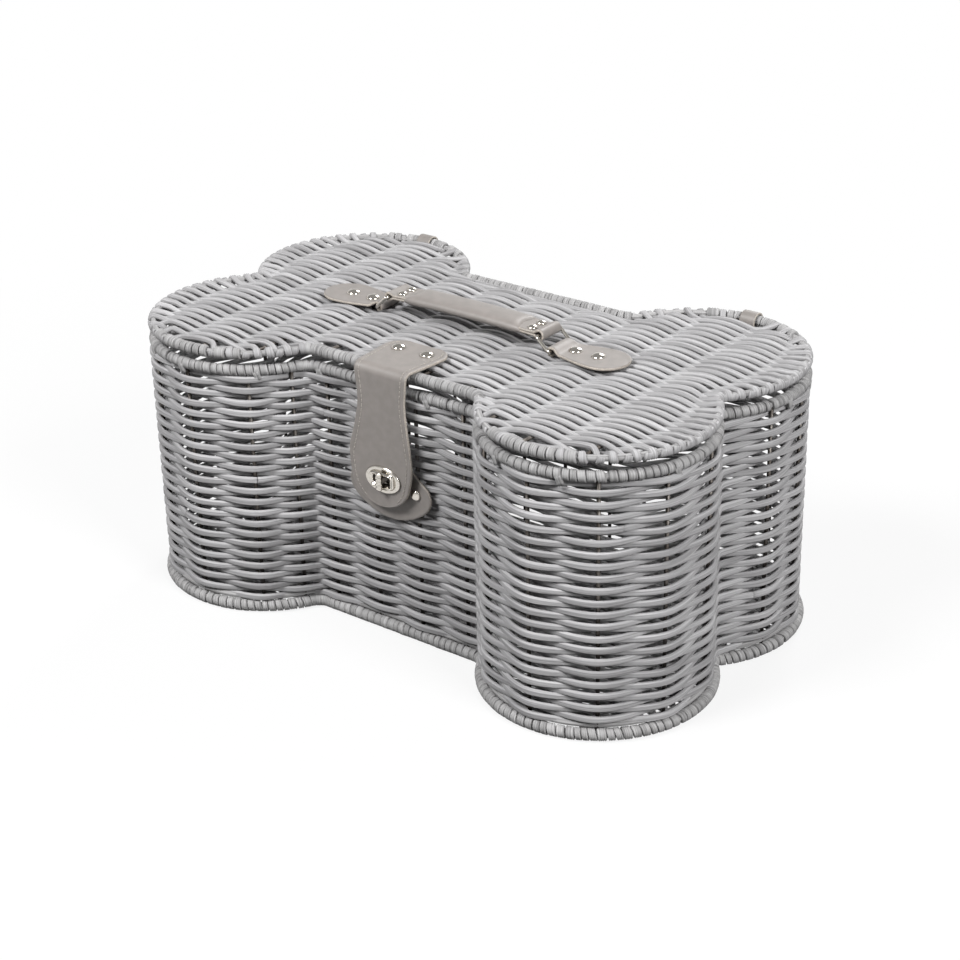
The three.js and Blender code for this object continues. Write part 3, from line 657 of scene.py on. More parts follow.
# the end of a lid strand: bends to the rim and goes round it, over the top or from below
def rimEnd(last, way, over):
    s = nearestOnBone(last)
    _, tangent, _ = alongBone(s)
    lead = flatWeave["foot"] * float(np.dot(way, tangent))
    place, tangent, out = alongBone(s + lead)
    r = rimR["lid"] - flatWeave["flat"][1]
    start, end = flatWeave["over" if over else "under"]
    turn = np.radians(np.linspace(start, end, flatWeave["endPoints"]))
    slant = np.linspace(0, flatWeave["slant"], len(turn)) * np.sign(lead if abs(lead) > 0.5 else 1)
    path, facing = roundRim(place + tangent * slant[:, None], out, lidRimZ, r, turn)
    return path, facing, s + lead


# easy bend from one run of points into another
def bend(before, a, b, after, steps=7):
    reach = np.linalg.norm(np.subtract(b, a))
    t = np.linspace(0, 1, steps + 2)[1:-1, None]
    m0 = unit(np.subtract(a, before)) * reach
    m1 = unit(np.subtract(after, b)) * reach
    return ((2 * t ** 3 - 3 * t ** 2 + 1) * a + (t ** 3 - 2 * t ** 2 + t) * m0
            + (-2 * t ** 3 + 3 * t ** 2) * b + (t ** 3 - t ** 2) * m1)


def lidRow(y, start, end, parity):
    path, wide, leftSign, rightSign = rowPath(y, start, end, parity, levels["lid"])
    keep = distanceToBone(path) > flatWeave["turnIn"]
    path, wide = path[keep], wide[keep]
    if len(path) < 4:
        return None, []
    left, leftFacing, leftAt = rimEnd(path[0], (-1, 0), leftSign > 0)
    right, rightFacing, rightAt = rimEnd(path[-1], (1, 0), rightSign > 0)
    joinLeft = bend(left[1], left[0], path[0], path[1])
    joinRight = bend(path[-2], path[-1], right[0], right[1])
    points = np.concatenate([left[::-1], joinLeft, path, joinRight, right])
    up = np.tile([0.0, 0.0, 1.0], (len(points), 1))
    up[:len(left)] = leftFacing[::-1]
    up[-len(right):] = rightFacing
    flat = np.zeros(len(points))
    flat[:len(left)] = 1
    flat[-len(right):] = 1
    flat = np.convolve(np.pad(flat, 3, mode="edge"), np.ones(7) / 7, "valid")
    head, tail = len(left) + len(joinLeft), len(right) + len(joinRight)
    wide = np.pad(wide, (head, tail), constant_values=weave["lidWide"] / 2)
    rimW, rimT = flatWeave["flat"]
    sections = [strandSection(w + (rimW - w) * f, strandT + (rimT - strandT) * f) for w, f in zip(wide, flat)]
    return sweep(points, up, sections, along=patternStart()), [leftAt, rightAt]


# the rows that fit inside the outline, with every second one going under where its neighbours go over
def flatRows(margin):
    reach = bone["lobeY"] + bone["lobeR"] - margin
    most = int(reach / weave["rowPitch"])
    return [(i * weave["rowPitch"], -1 if i % 2 else 1) for i in range(-most, most + 1)]


def lidStrands():
    bars, ends = [], []
    for y, parity in flatRows(rimR["lid"] + strandW + 2):
        y += luck.uniform(-flatWeave["stray"], flatWeave["stray"])
        for start, end in rowSpans(y):
            bar, at = lidRow(y, start, end, parity)
            if bar:
                bars.append(bar)
                ends += at
    return bars, ends


lidBars, lidEnds = lidStrands()
middleRow = len(lidBars) // 2
for label, bars in (("front", lidBars[:middleRow]), ("back", lidBars[middleRow:])):
    addPiece("lid_strands_" + label, gather(bars), [rattanSkin], "lid", "grey_strand", "lid_weave")
print("lid woven:", len(lidBars), "strands")


def floorStrands():
    bars, inset = [], flatWeave["floorInset"]
    for y, parity in flatRows(2 * strandW + 3):
        for start, end in rowSpans(y):
            path, wide, _, _ = rowPath(y, start + inset, end - inset, parity, levels["floor"])
            if len(path) > 8:
                path, wide = path[::2], wide[::2]
            if len(path) > 3:
                sections = [strandSection(w, strandT) for w in wide]
                bars.append(sweep(path, (0, 0, 1), sections, along=patternStart()))
    return bars


floorBars = floorStrands()
addPiece("floor_strands", gather(floorBars), [rattanSkin], "basket", "grey_strand", "floor_weave")
print("floor woven:", len(floorBars), "strands")


# wrapped rims: strand wound flat round a core, each turn a little different
wrap = {
    "strip": 4.6,  # mm wide
    "thick": 1.6,
    "lidThick": 1.5,
    "turn": (200, -160),  # degrees from one hidden end to the other
    "turnPoints": 16,
    "ridge": 0.26,  # mm
    "uneven": 0.22,  # share that the pitch varies by
    "lift": 0.12,  # mm that a turn lies higher or lower
    "onLobe": 0.96,  # share of its room that a turn covers where the rim is bowed
    "gapChance": 0.06,
    "gap": (0.6, 2.2),  # mm
    "butt": 0.05,  # mm between turns elsewhere
    "slant": {"bottom": 3.2, "top": 2.2},  # mm that a turn leans
    "skew": (0.6, 1.5),  # shares of the slant that it may take
    "lidSlant": (0.4, 2.0),  # mm
    "lidLift": (-0.15, 0.1),  # mm
    "lidFull": (0.88, 0.98),  # share of its room that a turn covers
    "coreR": {"bottom": 2.2, "top": 1.9, "lid": 1.9},
    "filler": {"r": 2.0, "up": 5.4, "out": -0.6},  # strand that closes the gap above the bottom border
}


# flat strip with rounded edges and a few ridges along its face
def stripSection(width, thick):
    w, t, g = width / 2, thick / 2, wrap["ridge"]
    right = [(0.98, t * 0.2), (0.84, t), (0.6, t + g), (0.42, t - g), (0.2, t + g)]
    face = right + [(0, t - g / 2)] + [(-x, y) for x, y in reversed(right)]
    return np.array([(-w, -t), (w, -t)] + [(x * w, y) for x, y in face])


# a turn at s: a ring round the rim, slanted, with its two ends hidden on the inside
def rimTurn(s, width, radius, z, offset, slant, thick=wrap["thick"]):
    turn = np.radians(np.linspace(*wrap["turn"], wrap["turnPoints"] + 1))
    place, _, out = alongBone(s + np.linspace(-slant / 2, slant / 2, len(turn)))
    path, facing = roundRim(place + out * offset, out, z, radius - thick / 2, turn)
    return sweep(path, facing, stripSection(width, thick), along=patternStart())


# true where the rim is bowed, so that the turns of a binding spread apart
def bowed(s):
    _, _, out = alongBone(np.array([s - 4, s + 4]))
    return np.dot(out[0], out[1]) < 0.9999


def rimCore(radius, z, offset):
    return boneRing(radius, z, offset, 10)


def woundRim(rim, offset):
    z, bars, s = levels[rim], [], 0.0
    while s < boneLength:
        turnWidth = wrap["strip"] * (1 + luck.uniform(-wrap["uneven"], wrap["uneven"]))
        skew = wrap["slant"][rim] * luck.uniform(*wrap["skew"])
        radius = rimR[rim] + luck.uniform(-wrap["lift"], wrap["lift"])
        full = wrap["onLobe"] if bowed(s) else 1.0
        bars.append(rimTurn(s + turnWidth / 2, turnWidth * full, radius, z, offset, skew))
        s += turnWidth + (luck.uniform(*wrap["gap"]) if luck.random() < wrap["gapChance"] else wrap["butt"])
    return [rimCore(wrap["coreR"][rim], z, offset)] + bars


# tail of a binding strand, left hanging below the top rim
tail = {
    "every": 46,  # mm
    "stray": 0.3,  # share of that by which a tail strays
    "drops": (0, 2, 4, 5.6), "strip": (4.0, 1.2), "inward": 0.12, "aside": 0.35, "sunk": 0.2,
}


def bindingTail(s):
    place, way, out = alongBone(s)
    drop = np.array(tail["drops"], float)
    reach = rimR["top"] - tail["sunk"] - tail["inward"] * drop
    path = np.column_stack([place + out * reach[:, None] + way * (tail["aside"] * drop)[:, None],
                            levels["top"] - drop])
    return sweep(path, np.append(out, 0), stripSection(*tail["strip"]), along=patternStart())


topBars = woundRim("top", 0)
tailCount = int(boneLength / tail["every"])
for k in range(tailCount):
    topBars.append(bindingTail((k + luck.uniform(-tail["stray"], tail["stray"])) * tail["every"]))
addPiece("top_rim_binding", gather(topBars), [stripSkin], "basket", "grey_strand", "top_wrap")

filler = wrap["filler"]
bottomBars = [rimCore(filler["r"], levels["bottom"] + filler["up"], filler["out"])]
bottomBars += woundRim("bottom", bottomOffset)
addPiece("bottom_border", gather(bottomBars), [stripSkin], "basket", "grey_strand", "bottom_wrap")


# the lid rim is bound only where no strand ends go round it
def lidBinding():
    taken = sorted(s % boneLength for s in lidEnds)
    bars = [rimCore(wrap["coreR"]["lid"], lidRimZ, 0)]
    room = 2 * flatWeave["flat"][0]
    for a, b in zip(taken, taken[1:] + [taken[0] + boneLength]):
        free = b - a - room
        count = int(free / wrap["strip"])
        for k in range(count):
            width = free / count
            s = a + room / 2 + (k + 0.5) * width
            radius = rimR["lid"] + luck.uniform(*wrap["lidLift"])
            width *= luck.uniform(*wrap["lidFull"])
            slant = luck.uniform(*wrap["lidSlant"])
            bars.append(rimTurn(s, width, radius, lidRimZ, 0, slant, wrap["lidThick"]))
    return bars


addPiece("lid_rim_binding", gather(lidBinding()), [stripSkin], "lid", "grey_strand", "lid_wrap")
print("rims bound")


# leather
cutEdge = 0.35  # mm of rounding at a cut edge
leatherSkins = [hideSkin, edgeSkin]
leatherZ = levels["lid"] + halfWeave + seat  # underside of the leather on the lid
handSides = (("left", -1), ("right", 1))


# section of a leather strip: face up, back down, rounded edges, and a pressed bead inside them
def leatherSection(half, thick, crown=0.0, bead=0.0):
    t, e = thick / 2, min(cutEdge, thick / 2 - 0.05)
    inner = max(half - 2.2, half * 0.7)
    beadIn = max(half - 1.2, half * 0.85)
    right = [(half - e, -t), (half, -t + e), (half, t - e), (half - e, t),
             (beadIn, t + bead), (inner, t + crown * 0.3), (half * 0.45, t + crown * 0.8)]
    left = [(-x, y) for x, y in reversed(right)]
    return np.array(right + [(0, t + crown)] + left + [(0, -t)])


edgeFaces = {0, 1, 2, 11, 12, 13}  # of a section's sides, those at the two cut edges


def leatherBand(path, facing, halves, thick, closed=False, crown=0.0, bead=0.0):
    sections = np.stack([leatherSection(h, thick, crown * min(1, h / 8), bead) for h in halves])
    shape = sweep(path, facing, sections, closed)
    rows = len(path) if closed else len(path) - 1
    skin = [1 if j in edgeFaces else 0 for j in range(sections.shape[1])] * rows
    shape["skin"] = skin + ([] if closed else [1, 1])
    return shape


# stitches along a line that lies on the leather
stitch = {"length": 2.3, "pitch": 3.1, "thread": 0.28, "inset": 3.6}  # mm, the thread's radius


def stitchLine(points, normals):
    points, normals = np.asarray(points, float), np.asarray(normals, float)
    steps = np.linalg.norm(np.diff(points, axis=0), axis=1)
    at = np.concatenate([[0], np.cumsum(steps)])
    share = np.array([-0.5, -0.4, -0.2, 0.2, 0.4, 0.5])  # along a stitch, and its height there in mm
    height = np.array([-0.25, 0.0, 0.12, 0.12, 0.0, -0.25])
    r = stitch["thread"]
    bars = []
    for s in np.arange(stitch["pitch"] / 2, at[-1] - stitch["length"] / 2, stitch["pitch"]):
        t = s + share * stitch["length"]
        p = np.stack([np.interp(t, at, points[:, k]) for k in range(3)], 1)
        n = np.stack([np.interp(t, at, normals[:, k]) for k in range(3)], 1)
        bars.append(sweep(p + n * height[:, None], n, roundSection(r, r * 0.8, 6)))
    return bars


# hinge loops: a strip round the lid rim and the top rim
hinge = {
    "width": 11, "thick": 1.3, "upper": 4.8, "lower": 4.0,
    "halfFlat": 6.7,  # mm from a lobe's middle to where the rim crosses the hinge axis
}


def hingePath():
    y = bone["lobeY"] + sqrt(bone["lobeR"] ** 2 - hinge["halfFlat"] ** 2)
    up, low = hinge["upper"] + hinge["thick"] / 2, hinge["lower"] + hinge["thick"] / 2
    tilt = asin((low - up) / (levels["lid"] - levels["top"]))
    over = spokes(np.linspace(tilt, pi - tilt, 20))
    under = spokes(np.linspace(pi - tilt, 2 * pi + tilt, 20))
    path = np.concatenate([over * up + [y, levels["lid"]], under * low + [y, levels["top"]]])
    return inSpace(path, 0), inSpace(np.concatenate([over, under]), 0)


for label, side in handSides:
    path, facing = hingePath()
    path[:, 0] += side * bone["lobeX"]
    shape = leatherBand(path, facing, [hinge["width"] / 2] * len(path), hinge["thick"], closed=True)
    addPiece("hinge_strap_" + label, shape, leatherSkins, "basket", "taupe_leather", "hinge_loop_" + label)
print("hinge loops made")


# handle: tabs, rings, folded strap and grip
handle = {
    "gripLength": 91, "gripWidth": 22, "gripThick": 7.5, "endLength": 13.5, "strapWidth": 19,
    "layer": 1.5, "arch": 1.2, "ringWire": 2.5, "ringLength": 12.5, "ringLean": 44, "ringWidth": 20.6,
    "ringCorner": 2.2, "rivetInset": 5.5, "rivetY": 4.6, "tabLength": 33, "tabEndR": 16, "tabNeck": 9.5,
    "tabThick": 1.6, "tabRivets": (12, 28.5), "eyeRise": 1.5, "openEye": 0.9,
    "tabRise": (9, 7, 1.5),  # mm from the eye where the flat part ends and where the rise starts and ends
    "under": 34,  # mm from the middle where the strap's folded ends stop
    "hollow": 5.0,  # mm that an end of the grip is cut back at the middle of its upper side
}
lean = radians(handle["ringLean"])
handleEyeX = handle["gripLength"] / 2 + handle["endLength"]
tabEyeX = handleEyeX + handle["ringLength"] * cos(lean)
tabEyeZ = levels["lid"] + halfWeave + handle["eyeRise"]
handleEyeZ = tabEyeZ + handle["ringLength"] * sin(lean)
barR = handle["ringWire"] / 2


# teardrop tab: flat on the lid, lifting to the ring and folded back under its bar
def handleTab(side):
    t, neck, endR = handle["tabThick"], handle["tabNeck"], handle["tabEndR"]
    flatEnd, riseStart, riseEnd = handle["tabRise"]
    flatZ = leatherZ + t / 2
    endX = tabEyeX + handle["tabLength"]
    r = barR + seat + t / 2
    tip = np.linspace(pi / 2, 0, 12)
    tipHalves = endR * np.cos(tip)
    tipHalves[0] = 1.2
    straight = np.linspace(endX, tabEyeX + flatEnd, 12)[1:]
    share = np.clip((straight - tabEyeX) / handle["tabLength"], 0, 1)
    halves = neck + (endR - neck) * np.sin(share * pi / 2) ** 1.25
    flatXs = np.concatenate([endX + endR * np.sin(tip), straight])
    riseXs = tabEyeX + np.linspace(riseStart, riseEnd, 5)
    climb = np.sin(np.linspace(0.12, 0.98, 5) * pi / 2) ** 2
    loop = spokes(np.radians(np.linspace(84, 285, 16)))
    path = np.concatenate([
        np.column_stack([flatXs, np.full(len(flatXs), flatZ)]),
        np.column_stack([riseXs, flatZ + (tabEyeZ + r - flatZ) * climb]),
        loop * r + [tabEyeX, tabEyeZ],
    ])
    halves = np.concatenate([tipHalves, halves, np.linspace(halves[-1], neck, 5), np.full(len(loop), neck)])
    facing = np.tile([0.0, 1.0], (len(path), 1))
    facing[-len(loop):] = loop
    path, facing = inSpace(path * [side, 1], 1), inSpace(facing * [side, 1], 1)
    return leatherBand(path, facing, halves, t, crown=0.25, bead=0.22)


# wire ring: a rectangle with rounded corners, leaning from the tab's eye to the handle's
def wireRing(side):
    half, r = handle["ringLength"] / 2, handle["ringCorner"]
    halfWidth = (handle["ringWidth"] + handle["ringWire"]) / 2
    corners = []
    for n, corner in enumerate([(1, 1), (-1, 1), (-1, -1), (1, -1)]):
        turn = np.radians(np.linspace(90 * n, 90 * n + 90, 7))
        corners.append(spokes(turn) * r + np.array(corner) * [half - r, halfWidth - r])
    x, y = np.concatenate(corners).T
    path = np.column_stack([(tabEyeX - (half + x) * cos(lean)) * side, y,
                            tabEyeZ + (half + x) * sin(lean)])
    facing = (sin(lean) * side, 0, cos(lean))
    return sweep(path, facing, roundSection(barR * 0.94, barR * 0.94, 12), closed=True)


for label, side in handSides:
    addPiece("tab_leather_" + label, handleTab(side), leatherSkins, "lid", "taupe_leather",
             "handle_tab_" + label)
for label, side in handSides:
    addPiece("wire_ring_" + label, wireRing(side), [nickelSkin], "ring_" + label, "nickel", "ring_" + label)


def archZ(x):
    return handleEyeZ + handle["arch"] * (1 - (x / handleEyeX) ** 2)


# the handle strap runs through both rings and folds back under itself
def handleStrapShape():
    layer, under = handle["layer"], handle["under"]
    fromMiddle = layer / 2 + 0.03

    def run(start, end, count, way):
        x = np.linspace(start, end, count)
        return np.column_stack([x, archZ(x) + way * fromMiddle])

    def eye(x, slack, start, end):
        turn = np.radians(np.linspace(start, end, 14))
        return spokes(turn) * (barR + slack + layer / 2) + [x, handleEyeZ]

    flat = np.concatenate([
        run(-under, -handleEyeX + 3.5, 8, -1), eye(-handleEyeX, seat, 285, 75),
        run(-handleEyeX + 4.0, handleEyeX - 4.0, 30, 1), eye(handleEyeX, handle["openEye"], 105, -105),
        run(handleEyeX - 3.5, under, 8, -1),
    ])
    ahead = unit(np.gradient(flat, axis=0))
    facing = np.column_stack([-ahead[:, 1], ahead[:, 0]])
    halves = [handle["strapWidth"] / 2] * len(flat)
    return leatherBand(inSpace(flat, 1), inSpace(facing, 1), halves, layer, bead=0.1)


addPiece("handle_strap_folded", handleStrapShape(), leatherSkins, "handle", "taupe_leather", "handle_strap")


# padded grip sleeve: flattened round section, with its ends cut to a hollow curve
def gripShape():
    half = handle["gripLength"] / 2
    w, t = handle["gripWidth"] / 2, handle["gripThick"] / 2
    xs = np.concatenate([np.linspace(-half, -half + 6, 6), np.linspace(-half + 9, half - 9, 22),
                         np.linspace(half - 6, half, 6)])
    ring = spokes(wholeTurn(28))
    ring = np.sign(ring) * np.abs(ring) ** [0.62, 0.9] * [w, t]
    sections = []
    for x in xs:
        near = min(1, (half - abs(x)) / 6)
        squeeze = 0.82 + 0.18 * sin(near * pi / 2)
        sections.append(ring * [0.93 + 0.07 * near, squeeze])
    shape = sweep(inSpace(np.column_stack([xs, archZ(xs)]), 1), (0, 0, 1), np.stack(sections))
    points = shape["points"]
    near = np.clip((np.abs(points[:, 0]) - (half - 12)) / 12, 0, 1)
    dip = np.clip(1 - (points[:, 1] / w) ** 2, 0, 1) * (points[:, 2] > archZ(points[:, 0]))
    points[:, 0] -= np.sign(points[:, 0]) * handle["hollow"] * near * dip
    return shape


grip = addPiece("padded_grip", gripShape(), [hideSkin], "handle", "taupe_leather", "handle_grip")
print("handle made")


# clasp strap: one leather strip, riveted on the lid, bent over the rim and hanging in front
clasp = {
    "thick": 1.8, "overhang": 7.3, "bendR": 4.5, "bendWidth": 40, "earWidth": 46, "topLength": 43,
    "earR": 11, "rivetX": 11, "rivetInset": 12, "length": 89, "tipStart": 81, "lockDrop": 72,
    "widths": [(0, 20), (22, 18.4), (45, 22.2), (55, 24.2), (64.5, 24), (76, 21.6), (82.5, 17), (86, 12.5),
               (88.3, 6.5), (89, 0.6)],  # drop and half width
    "lean": [(30, 0), (47, -1), (60, -2.2), (72, -2.6), (92, -2.4)],  # drop and sideways hang
    "blend": 8,  # mm on each side of the corner that bend with the flap
    "leastHalf": 0.6,
}
strapAxisY = -(bone["waistY"] + bindingReach + clasp["overhang"])
strapAxisZ = leatherZ + clasp["thick"] / 2
lockZ = strapAxisZ - clasp["lockDrop"]
strapRivetY = strapAxisY + clasp["topLength"] - clasp["rivetInset"]
claspCurve = curveThrough(clasp["widths"], 10)


# half width at a distance from the bend: behind it on the lid, or down the front
def claspHalf(d):
    least = clasp["leastHalf"]
    if d < 0:
        end, ear, r = -clasp["topLength"], clasp["earWidth"] / 2, clasp["earR"]
        if d < end + r:
            k = (d - end) / r
            return max(ear - r + r * sqrt(max(0, 1 - (1 - k) ** 2)), least)
        return ear + (clasp["bendWidth"] / 2 - ear) * (d - end - r) / (-end - r)
    return float(np.interp(d, claspCurve[:, 0], np.maximum(claspCurve[:, 1], least)))


# middle of the strap and its outward side, at a distance from the bend
def claspPath(d):
    r = clasp["bendR"]
    quarter = r * pi / 2
    start = -r
    if d <= start:
        return (0, strapAxisY - d, strapAxisZ), (0, 0, 1)
    if d >= start + quarter:
        drop = d - (start + quarter) + r
        hang = np.interp(drop, *np.transpose(clasp["lean"]))
        return (hang, strapAxisY, strapAxisZ - drop), (0, -1, 0)
    a = (d - start) / r
    return ((0, strapAxisY + r - r * sin(a), strapAxisZ - r + r * cos(a)),
            (0, -sin(a), cos(a)))


def claspStations():
    top, r, tipStart = clasp["topLength"], clasp["bendR"], clasp["tipStart"]
    ear = -top + clasp["earR"] * (1 - np.cos(np.linspace(0.02, pi / 2, 10)))
    flat = np.linspace(-top + clasp["earR"] + 2, -r - 1, 10)
    turn = np.linspace(-r, r * 0.6, 10)
    front = np.linspace(r, tipStart, 34)
    tip = tipStart + (clasp["length"] - tipStart) * np.sin(np.linspace(0.1, pi / 2, 16))
    return np.concatenate([ear, flat, turn, front, tip])


def claspStrap():
    stations = claspStations()
    path, facing = zip(*(claspPath(d) for d in stations))
    return leatherBand(path, facing, [claspHalf(d) for d in stations], clasp["thick"], bead=0.2)


def claspStitches():
    lines = []
    inset, lift = stitch["inset"], clasp["thick"] / 2 + 0.03
    stations = np.linspace(-clasp["topLength"] + inset, clasp["length"] - inset - 1, 130)
    for side in (-1, 1):
        points, normals = [], []
        for d in stations:
            (x, y, z), n = claspPath(d)
            half = claspHalf(d) - inset
            if half >= 1.5:
                points.append(np.array([x + side * half, y, z]) + np.array(n) * lift)
                normals.append(n)
        lines += stitchLine(points, normals)
    return lines


claspPiece = newPiece("clasp_strap", claspStrap(), leatherSkins)
seam = newPiece("clasp_stitching", gather(claspStitches()), [threadSkin])

lock = {
    "width": 27.5, "height": 18, "plate": 1.2, "slot": (13.4, 5.4), "collarWall": 2.2, "collar": 1.8,
    "base": (24, 14), "post": 4.6, "knob": (4.4, 12.5, 2.2), "ribs": 5, "ribHeight": 0.35,
    "cutRoom": 1.5,  # mm that the opening in the flap is larger than the slot
}


# opening behind the lock plate
def cutSlot(piece, width, height, y, z):
    half = np.array([width / 2, 6, height / 2])
    corners = [(i, j, k) for i in (-1, 1) for j in (-1, 1) for k in (-1, 1)]
    points = [np.array([0, y, z]) + half * c for c in corners]
    faces = [(0, 1, 3, 2), (4, 6, 7, 5), (0, 4, 5, 1), (2, 3, 7, 6), (0, 2, 6, 4), (1, 5, 7, 3)]
    tool = newPiece("slot_tool", {"points": np.array(points), "faces": faces}, [edgeSkin], smooth=False)
    knife = piece.modifiers.new("slot", "BOOLEAN")
    knife.operation, knife.object, knife.solver = "DIFFERENCE", tool, "EXACT"
    graph = bpy.context.evaluated_depsgraph_get()
    cutMesh = bpy.data.meshes.new_from_object(piece.evaluated_get(graph), depsgraph=graph)
    piece.modifiers.clear()
    piece.data = cutMesh
    bpy.data.objects.remove(tool)


cutSlot(claspPiece, lock["slot"][0] + lock["cutRoom"], lock["slot"][1] + lock["cutRoom"], strapAxisY, lockZ)
for piece in (claspPiece, seam):
    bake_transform(piece)
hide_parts("clasp_strap_top", "clasp_strap_flap")
print("clasp strap made")


# backing patch: a shield of leather riveted to the wall behind the flap
patch = {
    "width": 68, "height": 47, "top": 18, "cornerR": 9, "rivetX": 20.5, "rivetDrop": 7, "thick": 1.6,
}
wallFace = -(bone["waistY"] + halfWeave)
patchBack = wallFace - seat
patchRivetZ = lockZ - patch["rivetDrop"]


def patchOutline():
    c, side = patch["cornerR"], patch["width"] / 2
    top = lockZ + patch["top"]
    bottom = top - patch["height"]
    shoulder = patchRivetZ + c / 2
    hip, hipX, cornerX = shoulder - 2 * c, side - c, side + c / 4

    def quad(a, b, d, steps):
        t = np.linspace(0, 1, steps)[:-1, None]
        return (1 - t) ** 2 * np.array(a) + 2 * t * (1 - t) * np.array(b) + t ** 2 * np.array(d)

    half = np.concatenate([
        quad((0, top + c / 8), (c / 4, top + c / 8), (c / 2, top), 4),
        quad((c / 2, top), (side / 2, (top + shoulder) / 2), (side - c / 2, shoulder), 8),
        quad((side - c / 2, shoulder), (cornerX, shoulder - c), (hipX, hip), 10),
        quad((hipX, hip), (hipX / 2, bottom), (0, bottom), 12),
    ])
    return np.concatenate([half, [(0, bottom)], half[:0:-1] * [-1, 1]])


# a flat leather piece from its outline: rounded cut edge, slight crown and a pressed border line
def flatLeather(outline, place, thick):
    middle = outline.mean(0)
    e = cutEdge
    inward = (middle - outline) / np.linalg.norm(outline - middle, axis=1, keepdims=True)
    border = [(e, 0.0), (0, e), (0, thick - e), (e, thick), (1.3, thick + 0.2), (2.3, thick + 0.02),
              (5, thick + 0.08)]  # mm inward and height
    crown = [(0.6, thick + 0.12), (0.25, thick + 0.15)]  # share of the outline and height
    rings = [(outline + inward * d, h) for d, h in border]
    rings += [(middle + (outline - middle) * share, h) for share, h in crown]
    shape = stacked(rings, place, closed=False)
    edgeCount = 3 * len(outline)
    shape["skin"] = [1] * edgeCount + [0] * (len(shape["faces"]) - edgeCount)
    return shape


patchShape = flatLeather(patchOutline(), lambda x, z, h: (x, patchBack - h, z), patch["thick"])
addPiece("clasp_patch_leather", patchShape, leatherSkins, "basket", "taupe_leather", "clasp_patch", tidy=True)
print("clasp patch made")


# rivets: turned round their own axis, domed head, shank and flat tail
rivets = {
    "lid": {"headR": 4.5, "headH": 2.2, "shankR": 1.5, "tailR": 3.5, "tailH": 1},
    "patch": {"headR": 3.8, "headH": 2.4, "shankR": 1.4, "tailR": 3.2, "tailH": 1},
    "handle": {"headR": 3.2, "headH": 1.7, "shankR": 1.2, "tailR": 2.6, "tailH": 0.8},
}


def ovalRing(width, height, count=48):
    return roundSection(width / 2, height / 2, count)


def rivet(name, kind, layers, place, body):
    k = rivets[kind]
    low = -layers - seat
    profile = [(k["tailR"] * 0.9, low - k["tailH"]), (k["tailR"], low - k["tailH"] * 0.7),
               (k["tailR"], low), (k["shankR"], low), (k["shankR"], 0.02), (k["headR"] * 0.97, 0.02)]
    profile += [(k["headR"] * cos(t), 0.35 + (k["headH"] - 0.05) * sin(t) ** 1.15)
                for t in np.linspace(0, 1.5, 9)]
    rings = [(ovalRing(2 * r, 2 * r, 28), h) for r, h in profile]
    metalPiece("rivet_" + name, stacked(rings, place, closed=False), nickelSkin, body, name)


def upFrom(x0, y0, z0):
    return lambda x, y, h: (x0 + x, y0 + y, z0 + h)


def outFrom(x0, y0, z0):
    return lambda x, z, h: (x0 + x, y0 - h, z0 + z)


weaveStack = 2 * halfWeave + seat
for label, side in handSides:
    for n, distance in enumerate(handle["tabRivets"], 1):
        spot = upFrom(side * (tabEyeX + distance), 0, leatherZ + handle["tabThick"])
        rivet("tab_rivet_%s_%d" % (label, n), "lid", handle["tabThick"] + weaveStack, spot, "lid")
    spot = upFrom(side * clasp["rivetX"], strapRivetY, leatherZ + clasp["thick"])
    rivet("strap_rivet_" + label, "lid", clasp["thick"] + weaveStack, spot, "lid")
    spot = outFrom(side * patch["rivetX"], patchBack - patch["thick"], patchRivetZ)
    rivet("patch_rivet_" + label, "patch", patch["thick"] + weaveStack, spot, "basket")
handleRivetX = handle["gripLength"] / 2 + handle["rivetInset"]
places = [(x, y) for x in (-handleRivetX, handleRivetX) for y in (-handle["rivetY"], handle["rivetY"])]
for n, (x, y) in enumerate(places, 1):
    rivet("handle_rivet_%d" % n, "handle", 2 * handle["layer"], upFrom(x, y, archZ(x) + handle["layer"]),
          "handle")
print("rivets set")


# turn lock
def plateRing(grow):
    return ovalRing(lock["width"] + grow, lock["height"] + grow)


# the slot's outline with rounded corners, made larger all round
def slotRing(grow):
    ray = spokes(wholeTurn(48))
    power = 7.0
    half = (np.array(lock["slot"]) + grow) / 2
    return ray * (np.abs(ray / half) ** power).sum(1, keepdims=True) ** (-1 / power)


flapFace = strapAxisY - clasp["thick"] / 2
flapBack = strapAxisY + clasp["thick"] / 2
wallW, collarTop = lock["collarWall"], lock["plate"] + lock["collar"]
# growth of each ring and its height: pressed oval, groove round the collar, collar, step inside it
plateRings = [(slotRing(0), 0.0)]
plateRings += [(plateRing(grow), h) for grow, h in (
    (-0.6, 0.0), (0, 0.35), (-0.7, 0.85), (-1.6, 1.25), (-2.6, 1.45))]
plateRings += [(slotRing(grow), h) for grow, h in (
    (2 * wallW + 0.6, 1.5), (2 * wallW + 0.4, 0.7), (2 * wallW - 0.2, 0.7),
    (2 * wallW - 0.5, collarTop - 0.2), (2 * wallW - 1, collarTop), (wallW + 0.3, collarTop),
    (wallW, collarTop - 0.8), (0.3, collarTop - 0.8))]
plateShape = stacked(plateRings, outFrom(0, flapFace - seat, lockZ))
metalPiece("turn_lock_plate", plateShape, nickelSkin, "strap", "lock_plate")

backOval = ovalRing(lock["width"] - 3, lock["height"] - 1.5)
backRings = [(slotRing(0), 0.0), (backOval, 0.0), (backOval, lock["plate"]), (slotRing(0), lock["plate"])]
backShape = stacked(backRings, outFrom(0, flapBack + seat + lock["plate"], lockZ))
metalPiece("turn_lock_back", backShape, nickelSkin, "strap", "lock_plate_back")

